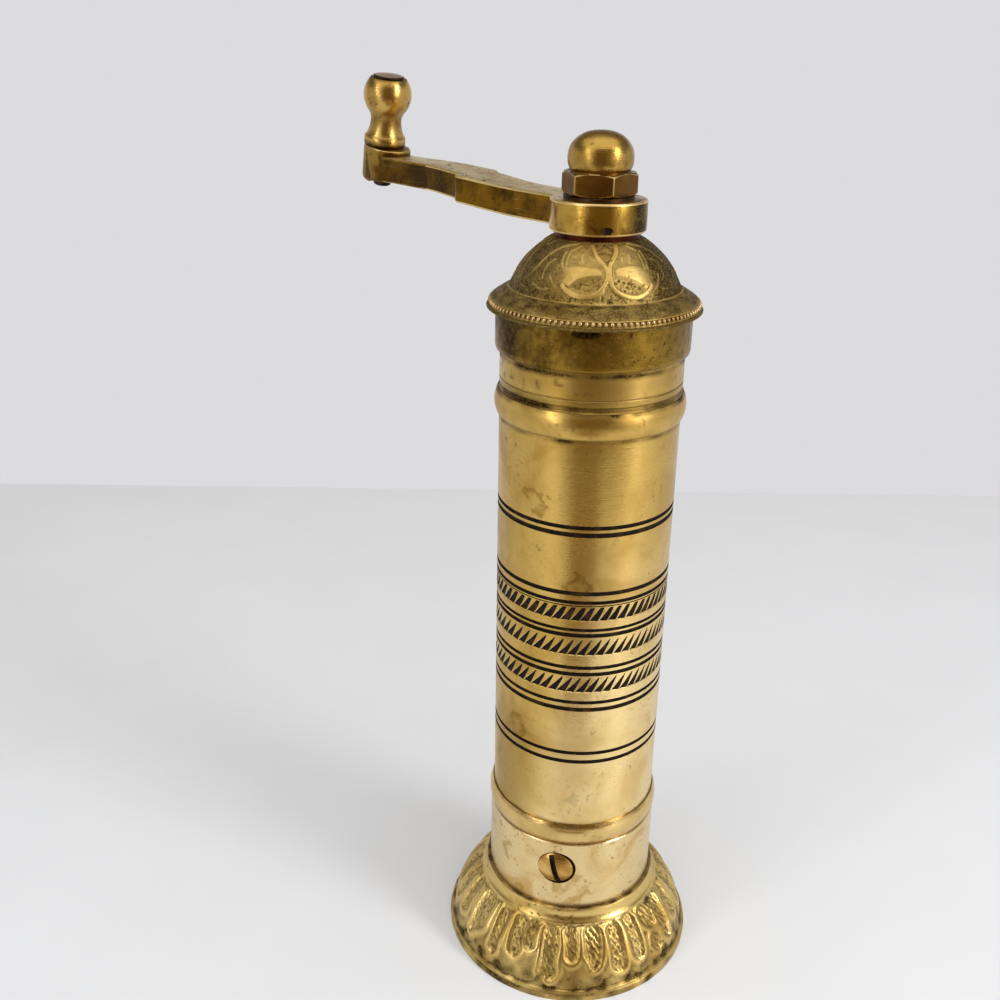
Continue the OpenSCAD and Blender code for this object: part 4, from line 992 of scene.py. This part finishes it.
# %% [markdown]
# Ridges and leaves stand up from the dome by a tenth of a millimetre, as on a pressed lid. The
# lens, the field and the foot of the dome are left low and rough, and small zigzags are
# scratched between the arms of the stem.

# %% Dome relief
DOME_RISE, DOME_SINK, LENS_DEEP, HATCH_DEEP, PIT_DEEP, CAST_DEEP = 0.2, 0.1, 0.12, 0.08, 0.14, 0.035
beside_middle = np.abs(angle)


def on_sphere(angles, shares):
    a, e = np.radians(angles), np.radians(LOW_TILT + np.asarray(shares) * (HIGH_TILT - LOW_TILT))
    return DOME_R * np.stack([np.cos(e) * np.cos(a), np.cos(e) * np.sin(a), np.sin(e)], 1)


here = on_sphere(beside_middle, share)


def to_stroke(stroke):
    return distance(here, on_sphere(*along(stroke).T))


def ridge(stroke, half):
    return soft(half - to_stroke(stroke), 0, half * 0.6)


def field(outline, ease):
    return soft(np.where(inside(beside_middle, share, outline), to_stroke(outline), -1), 0, ease)


stem, arch = ridge(STEM, 0.72), ridge(ARCH, 0.48) * soft(share, 0.15, 0.5)
flames = np.max([ridge(rounded(flame), 0.36) for flame in FLAMES + FILLERS], axis=0)
leaf, lens = field(LEAF, 0.55), field(LENS, 0.25)
leaf_soft = leaf * soft(37 - beside_middle, 0, 14)
pitted = grains(mine, (0.55, 0.6), (0.28, 0.5))
cast = grains(mine, (1.3, 0.6), (0.7, 0.5))
low_zone = np.minimum(soft(0.13 - share, 0, 0.07) + soft(0.2 - share, 0, 0.1) * (beside_middle < 5), 1)
zigzag = np.abs(((beside_middle * 0.13 + grain_at(mine, 1.6) * 0.8 + share * 6) % 1) - 0.5) * 2
in_fork = soft(share - 0.52 - beside_middle * 0.032, 0.02, 0.06) * (beside_middle < 14)
hatch = soft(zigzag, 0.4, 0.75) * in_fork
raised = np.maximum.reduce([stem, arch * 0.7, flames * 0.5, leaf_soft * 0.8])
left_low = 1 - raised
lift = DOME_RISE * raised - DOME_SINK - LENS_DEEP * lens
lift += (CAST_DEEP * cast - HATCH_DEEP * hatch + PIT_DEEP * pitted * np.maximum(lens, low_zone)) * left_low
lift *= soft(share, 0.0, 0.03) * soft(1 - share, 0.0, 0.04)
points[on_dome] += (mine - [0, 0, DOME_MID]) / DOME_R * lift[:, None]
set_places(dome, points)
print("dome relief from", round(lift.min(), 2), "to", round(lift.max(), 2), "mm")

# %% [markdown]
# The dirt of the dome lies beside every ridge and in the pits of the rough fields. Painted shade lies under
# the teeth of the brim and on the lip below them, and darkens the dome towards its sides, away from the
# middle of a palmette. The slope of the brim was never polished, so it is streaked and olive.

# %% Dome dirt
worn = grains(mine, (2.6, 0.7), (1.0, 0.6))
beside = 4 * stem * (1 - stem) + 2.7 * leaf * (1 - leaf) * (beside_middle < 30)
beside += 2 * flames * (1 - flames) + arch * (1 - arch)
pits = (0.4 + 0.6 * soft(-pitted, -0.1, 0.3)) * np.maximum(lens * 0.95, low_zone) + hatch * 0.7
# Painted shade: the dome darkens away from a palmette's middle and on one side.
dull_and_side_shade = 0.46 + 0.16 * worn + 0.08 * soft(-cast, 0, 0.4)
dull_and_side_shade += 0.4 * soft(beside_middle, 24, 50) + 0.45 * near(bearings(mine), 25, 50)
rubbed_and_side_shade = 0.05 + 0.22 * worn + 0.45 * soft(beside_middle, 18, 50)
bright = np.maximum.reduce([stem * 0.85, arch * 0.35, flames * 0.32, leaf_soft * 0.85])
dirt = np.zeros(len(points))
dirt[on_dome] = np.maximum.reduce([beside * (0.6 + 0.5 * worn), (1 - bright) * np.maximum(pits, dull_and_side_shade),
                                   rubbed_and_side_shade])
turn, z = bearings(points), points[:, 2]
slope = soft(z, 159.3, 159.7) * soft(162.1 - z, 0, 0.5) * (radius > 17)
streaks = grain_at(np.stack([turn / 9, z * 3.2 + turn / 14, np.zeros(len(points))], 1), 1.0)
# Painted shade under the teeth of the brim and on the lip below them.
shade_under_teeth = near(z, 158.8, 0.75) * 1.6 + soft(158.35 - z, 0, 0.3) * 0.85
dirt = np.maximum(dirt, slope * np.clip(0.85 + 0.4 * streaks, 0, 1))
store(dome, np.maximum(dirt, np.minimum(shade_under_teeth, 1) * (radius > 20)))
smooth(dome, 60)
dress(dome, "lid", "lid_brass", "dome_lid", dome_brass)

# %% [markdown]
# A row of small teeth was rolled into the brim's edge. One tooth is a squashed sphere with few
# faces, and Spin with its duplicate setting copies it round the brim.

# %% Brim beads
TEETH, TOOTH_PLACE, TOOTH_SIZE = 112, (21.12, 0, 158.92), (0.36, 0.42, 0.44)
deselect_all()
bpy.ops.mesh.primitive_uv_sphere_add(segments=8, ring_count=6, radius=1, location=Vector(TOOTH_PLACE) * MM)
beads = bpy.context.object
beads.name = beads.data.name = "brim_beads"
beads.scale = Vector(TOOTH_SIZE) * MM
settle(beads)
edit_all(beads)
bpy.ops.mesh.spin(steps=TEETH - 1, dupli=True, angle=math.tau * (TEETH - 1) / TEETH, center=(0, 0, 0),
                  axis=(0, 0, 1))
bpy.ops.object.mode_set(mode="OBJECT")
smooth(beads, 60)
dress(beads, "lid", "lid_brass", "dome_lid", tooth_brass)

# %% [markdown]
# A thin copper washer lies between the dome and the hub, and a steel one under the nut, painted dark as the
# shade under the nut. Both are turned, with a broken edge so that they catch a line of light.

# %% Washers
for name, bore, rim_r, low, high, body, slot, node, finish in (
        ("copper_washer", 4.7, 8.4, 171.77, 172.67, "lid", "copper", "hub_washer", washer_copper),
        ("steel_washer", 3.2, 7.0, 178.97, 179.57, "nut", "dark_steel", "nut_washer", shaded_washer_steel)):
    broken_edge = [(rim_r, high - 0.12), (rim_r - 0.15, high)]
    washer = turned(name, [(bore, low), (rim_r, low)] + broken_edge + [(bore, high)], 96)
    smooth(washer)
    dress(washer, body, slot, node, finish)

# %% [markdown]
# The crank is one casting: a hub, an arm of two leaves that pass each other, and a boss. Its
# shape is already worked out in CAD, so a copy of that mesh is the blank. Its loose triangles
# are merged and its flat faces joined up. A Bevel modifier then rounds the edges that stick
# out, as years of handling did. Each edge carries its own share of the width, called its bevel
# weight.

# %% Copy and bevel helpers
def copy_of(node, name):
    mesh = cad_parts[node].data.copy()
    piece = bpy.data.objects.new(name, mesh)
    mesh.name = name
    bpy.context.scene.collection.objects.link(piece)
    mesh.materials.clear()
    edit_all(piece)
    bpy.ops.mesh.customdata_custom_splitnormals_clear()
    bpy.ops.mesh.remove_doubles(threshold=0.001 * MM)
    bpy.ops.mesh.dissolve_limited(angle_limit=math.radians(1))
    bpy.ops.object.mode_set(mode="OBJECT")
    return piece


def round_edges(piece, width, segments, degrees, share=None):
    """Bevel the sharp edges that stick out; share gives an edge's own part of the width."""
    mesh, faces_of = piece.data, {}
    for face in mesh.polygons:
        for key in face.edge_keys:
            faces_of.setdefault(key, []).append(face)
    weight = mesh.attributes.new("bevel_weight_edge", "FLOAT", "EDGE")
    for edge in mesh.edges:
        pair = faces_of.get(edge.key, [])
        if len(pair) == 2:
            first, second = pair
            sharp = first.normal.angle(second.normal, 0) > math.radians(degrees)
            if sharp and (second.center - first.center).dot(first.normal) < 0:
                ends = [mesh.vertices[i].co for i in edge.vertices]
                weight.data[edge.index].value = share(ends) if share else 1
    pick(piece)
    bevel = piece.modifiers.new("round", "BEVEL")
    bevel.width, bevel.segments, bevel.limit_method = width * MM, segments, "WEIGHT"
    bevel.use_clamp_overlap, bevel.material = False, 1
    bpy.ops.object.modifier_apply(modifier="round")


print("the CAD crank has", len(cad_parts["crank_arm"].data.polygons), "triangles")

# %% [markdown]
# The boss leans with the knob's pin, but its underside was filed level, so a box cuts it. Then
# the edges are rounded, those under the outer side of the boss the most.

# %% Crank
BOSS, LEAN, BOSS_HALF = Vector((-74.1, 0, 179.069)) * MM, math.radians(9.4), 4.1
PIN_WAY = Vector((math.sin(LEAN), 0, math.cos(LEAN)))
EDGE_ROUND, LEAST_SHARE = 1.1, 0.42


def crank_share(ends):
    under = all(abs((p - BOSS).dot(PIN_WAY) / MM + BOSS_HALF) < 0.05 for p in ends)
    out = (BOSS.x - (ends[0].x + ends[1].x) / 2) / MM
    return LEAST_SHARE + (1 - LEAST_SHARE) * min(max(out / 4, 0), 1) * under


crank = copy_of("crank_arm", "crank")
deselect_all()
bpy.ops.mesh.primitive_cube_add(size=10 * MM, location=Vector((-71.6, 0, 170.1)) * MM, scale=(1, 2, 1))
carve(crank, bpy.context.object)
give(crank, crank_brass, rubbed_edge_and_highlight, engraved_top_with_sheen, black_fill_and_shade, hub_brass)
round_edges(crank, EDGE_ROUND, 4, 30, crank_share)
print("crank faces:", len(crank.data.polygons))

# %% [markdown]
# A small oval pit, a flaw of the casting, is cut into the hub with a squashed sphere. Then the faces of the
# crank take their finishes: the dark sides as cast, bright rubbed edges, the engraved top of the arm,
# painted pale as a reflection of the wall, the polished hub and boss, and black in the pit. A face is told
# by where it lies and looks.

# %% Crank finishes
CAST, EDGE, TOP, PIT, HUB = range(5)
HUB_R, PIT_BEARING, PIT_MIDDLE, PIT_Z, PIT_SIZE = 9.9, -34.3, 9.7, 174.0, (0.6, 1.3, 0.72)
deselect_all()
bpy.ops.mesh.primitive_uv_sphere_add(segments=24, ring_count=16, radius=MM,
                                     location=around(PIT_BEARING, PIT_MIDDLE, PIT_Z) * MM,
                                     rotation=(0, 0, math.radians(PIT_BEARING)))
bpy.context.object.scale = PIT_SIZE
carve(crank, bpy.context.object)
for face in crank.data.polygons:
    middle = face.center / MM
    out = math.hypot(middle.x, middle.y)
    as_cast = face.material_index == CAST
    if out < 9.55 and abs(middle.z - PIT_Z) < 0.8 and middle.dot(around(PIT_BEARING)) > 8.8:
        face.material_index = PIT
    elif face.normal.z > 0.85 and as_cast and -66 < middle.x < -9:
        face.material_index = TOP
    elif as_cast and (out < HUB_R or middle.x < -68.5):
        face.material_index = HUB
    elif face.material_index == EDGE and middle.x < -60 and face.normal.z < 0.5:
        face.material_index = HUB
points = places(crank)
x, z = points[:, 0], points[:, 2]
# Painted shade beside the step where the leaves pass and on the boss towards its foot; the far leaf is
# darker too.
far_end_and_step_shade = soft(-x, 34, 44) * 0.4 + near(x, -46, 6) * 0.5 + soft(177.2 - z, 0, 1.5) * (x < -66) * 0.25
store(crank, np.where(from_axis(points) < HUB_R, near(bearings(points), 12, 42), far_end_and_step_shade))
smooth(crank)
dress(crank, "crank", "crank_brass", "crank_arm")

# %% [markdown]
# The knob spins on a riveted pin that leans a little towards the hub. Both are turned upright, then tipped
# about the Y axis and moved to the boss, and the turn is applied to the mesh. The knob is browner on its
# neck and dirty round the rivet, and painted shade darkens the underside of its flange.

# %% Knob and pin
BALL_R, BALL_Z, BALL_FOOT = 5.75, 15.8, math.radians(-40)
KNOB_BORE, KNOB_LOW, KNOB_TOP, PIN_R, HEAD_BULGE = 2.17, 4.2, 19.4, 2.1, 0.28


def on_boss(piece):
    piece.rotation_euler.y = LEAN
    piece.location = BOSS
    settle(piece)
    smooth(piece)


ball_start = (BALL_R * math.cos(BALL_FOOT), BALL_Z + BALL_R * math.sin(BALL_FOOT))
flange = [(KNOB_BORE, KNOB_LOW), (4.5, KNOB_LOW), (4.8, 4.35), (4.9, 4.6), (4.9, 5.8), (4.78, 6.2)]
neck = arc((4.55, 6.5), (3.6, 9.8), -7.0) + arc((3.6, 9.8), ball_start, -3.3, 14)[1:]
ball = arc(ball_start, (4.2, KNOB_TOP), BALL_R, 28)[1:]
knob = turned("knob_grip", flange + neck + ball + [(KNOB_BORE, KNOB_TOP)], 96)
points = places(knob)
z = points[:, 2]
# The third term is painted shade under the flange, where it overhangs the boss.
store(knob, near(z, 6.3, 0.5) * 0.4 + soft(z, KNOB_TOP - 0.5, KNOB_TOP) * 0.7
      + near(z, 4.4, 0.6) * 1.4 * (from_axis(points) > 4) + near(z, 10.2, 4.0) * 0.5)
on_boss(knob)
dress(knob, "knob", "crank_brass", "knob", knob_brass)
shank = [(0, -5.4), (1.7, -5.4), (PIN_R, -5.1), (PIN_R, 19.5)]
rivet_head = [(3.5, 19.5), (3.6, 19.6), (3.55, 19.85), (3.3, 19.98)]
rivet_head += arc((3.0, 20.02), (0, 20.3), bow(3.0, HEAD_BULGE), 8)[1:]
pin = turned("knob_rivet", shank + rivet_head, 64, closed=False)
give(pin, rivet_lit_top, rivet_shaded_side)
# Painted light on the rivet: its top is pale, and the head's side and the tail are dark.
for face in pin.data.polygons:
    face.material_index = int(face.center.z < 19.95 * MM)
on_boss(pin)
dress(pin, "crank", "nut_bronze", "knob_pin")

# %% [markdown]
# The cap nut is a hexagon with a round cap. The hexagon is a cylinder of six sides. Turning the
# blank to a cone above and below gives a nut its curved chamfers, so here a turned double cone
# is intersected with it. Its edges are then bevelled, and hands have rubbed the bevels bright.

# %% Cap nut
NUT_LOW, NUT_H, FLAT, NUT_TURN = 179.57, 4.4, 13.1 / 2, 90 - 24.5
NUT_TOP, CONE_R, SPREAD = NUT_LOW + NUT_H, FLAT + 0.05, 1.4
DROP, CORNER_R = SPREAD * math.tan(math.radians(30)), FLAT / math.cos(math.radians(30))
deselect_all()
bpy.ops.mesh.primitive_cylinder_add(vertices=6, radius=CORNER_R * MM, depth=NUT_H * MM,
                                    location=(0, 0, (NUT_LOW + NUT_H / 2) * MM),
                                    rotation=(0, 0, math.radians(NUT_TURN)))
nut = bpy.context.object
nut.name = nut.data.name = "cap_nut_brass"
settle(nut)
double_cone = [(0, NUT_LOW), (CONE_R, NUT_LOW), (CONE_R + SPREAD, NUT_LOW + DROP),
               (CONE_R + SPREAD, NUT_TOP - DROP), (CONE_R, NUT_TOP), (0, NUT_TOP)]
cone = turned("cone", double_cone, 96, closed=False)
carve(nut, cone, "INTERSECT")
edit_all(nut)
bpy.ops.mesh.remove_doubles(threshold=MERGE)
bpy.ops.object.mode_set(mode="OBJECT")
give(nut, nut_bronze, nut_edge)
round_edges(nut, 0.22, 3, 22)
print("nut faces:", len(nut.data.polygons))

# %% [markdown]
# The cap is turned and joined to the hexagon. Its top is a little flatter than a ball, so its
# crown is a curve of its own, drawn as radius and depth below the top.

# %% Cap
CAP_TOP, WAIST_R = 191.5, 5.75
CROWN = rounded([(0.0, 0.0), (1.8, 0.1), (3.25, 0.5), (4.33, 1.1), (5.05, 1.7), (5.65, 2.4), (6.05, 3.1),
                 (6.3, 3.8), (6.42, 4.5), (6.45, 5.4), (6.38, 6.2), (6.1, 6.9)])
cap = turned("cap", [(0, NUT_TOP - 1), (WAIST_R, NUT_TOP - 1), (WAIST_R, NUT_TOP + 0.05)]
             + [(r, CAP_TOP - depth) for r, depth in reversed(CROWN)], 96, closed=False)
give(cap, nut_bronze, nut_edge, cap_bronze)
for face in cap.data.polygons:
    face.material_index = 2
pick(nut, cap)
bpy.ops.object.join()
smooth(nut)
dress(nut, "nut", "nut_bronze", "cap_nut")

# %% [markdown]
# The working parts inside keep their CAD meshes, whose shape is right. They only get finishes.
# The spring is squeezed when the burrs are set further apart. Here a copy of its mesh takes its place,
# smoothed and given a finish.

# %% Inner parts
INNER = {dark_steel: ("drive_shaft", "rotor_pin", "bridge_screws", "spring_collar", "collar_pin",
                      "spring_washer"),
         burr_iron: ("rotor_burr", "stator_burr"),
         inner_brass: ("lower_bridge", "adjusting_screw", "upper_guide")}
for finish, nodes in INNER.items():
    for node in nodes:
        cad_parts[node].data.materials.clear()
        give(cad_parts[node], finish)
spring = copy_of("shaft_spring", "spring_wire")
give(spring, dark_steel)
smooth(spring, 60)
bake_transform(spring)
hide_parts("shaft_spring")
print("inner parts with finishes:", sum(map(len, INNER.values())) + 1)

# %% [markdown]
# The mill stands on a pale table in front of a pale wall. The table is a plane that ends behind
# the mill, and the world behind it is the wall. Metal shows what it mirrors, so the rest of the
# room matters too: above the wall the world is dimmer, as a room is above a backdrop.

# %% Table and world
TABLE_WIDE, TABLE_DEEP, TABLE_END = 2.6, 1.4, 0.28
WALL, ROOM, WALL_TOP = colour(220, 219, 222), colour(122, 117, 108), (0.22, 0.48)


def dull_finish(name, first, second, size, detail, rough):
    """A surface that isn't metal, whose colour wavers between two tones."""
    finish = bpy.data.materials.new(name)
    finish.use_nodes = True
    tree = finish.node_tree
    shader = tree.nodes["Principled BSDF"].inputs
    spots = noisy(tree, place_on(tree), size, detail)
    tree.links.new(mixed(tree, spots, colour(*first), colour(*second)), shader["Base Color"])
    shader["Roughness"].default_value = rough
    return finish


deselect_all()
bpy.ops.mesh.primitive_plane_add(size=1, rotation=(0, 0, math.radians(HEADING)))
table = bpy.context.object
table.name = "table"
table.scale = (TABLE_WIDE, TABLE_DEEP, 1)
table.location = around(HEADING + 90, TABLE_END - TABLE_DEEP / 2)
settle(table)
table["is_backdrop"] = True
give(table, dull_finish("pale table", (226, 228, 232), (231, 233, 237), 30, 2, 0.5))
world = bpy.data.worlds.new("pale wall")
bpy.context.scene.world = world
world.use_nodes = True
tree = world.node_tree
up = add(tree, "SeparateXYZ", {0: add(tree, "TexCoord").outputs["Generated"]}).outputs["Z"]
wall_and_room = mixed(tree, ranged(tree, up, *WALL_TOP), WALL, ROOM)
tree.links.new(wall_and_room, tree.nodes["Background"].inputs["Color"])
print("world and table ready")

# %% [markdown]
# Two tall soft lamps, leaning outwards, make the upright streaks on the tube, and a wide one
# above lights the whole. A curved warm card stands behind the camera and another lies in front
# of it, so the polished front has something brown to mirror between the streaks. Only mirrored
# rays see the cards, so they throw no shadow and the camera never shows them.

# %% Lamps and cards
AIM = Vector((0, 0, 0.1))


def lamp(name, degrees, far, height, width, tall, power, lean=0):
    """A soft lamp that stands at an angle to the right of the camera, aimed at the mill."""
    bpy.ops.object.light_add(type="AREA", location=around(CAMERA_BEARING + degrees, far, height))
    made = bpy.context.object
    made.name = name
    made.data.shape, made.data.size, made.data.size_y, made.data.energy = "RECTANGLE", width, tall, power
    aim = (AIM - made.location).to_track_quat("-Z", "Y")
    made.rotation_euler = (aim.to_matrix() @ Matrix.Rotation(math.radians(lean), 3, "Z")).to_euler()


cloth = dull_finish("warm cloth", (124, 95, 28), (132, 103, 34), 40, 3, 0.9)
for name, outline, sweep, degrees in (("warm_card", [(290, 20), (290, 500)], 84, 14),
                                      ("low_card", [(120, 1), (285, 1)], 36, 0)):
    card = turned(name, outline, 24, closed=False, sweep=sweep)
    card.rotation_euler.z = math.radians(CAMERA_BEARING + degrees - sweep / 2)
    settle(card)
    card.visible_camera = card.visible_diffuse = card.visible_shadow = False
    card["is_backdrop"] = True
    give(card, cloth)
lamp("left lamp", -47, 0.7, 0.4, 0.06, 0.7, 1.0, 22)
lamp("right lamp", 60, 0.7, 0.4, 0.14, 0.7, 3.5, -22)
lamp("top lamp", 0, 0.3, 1.0, 1.7, 1.7, 11.4)
bpy.context.scene.view_settings.view_transform = "Standard"

# %% [markdown]
# Last, the box of the CAD solids and the box of the dressed mill are printed side by side, so that a piece
# that grew out of its solid is noticed.

# %% Sizes and finish
shown_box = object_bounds()
for name, box in (("CAD box", cad_box), ("shown box", shown_box)):
    print(name, [round((b - a) / MM, 2) for a, b in zip(*box)], "mm")
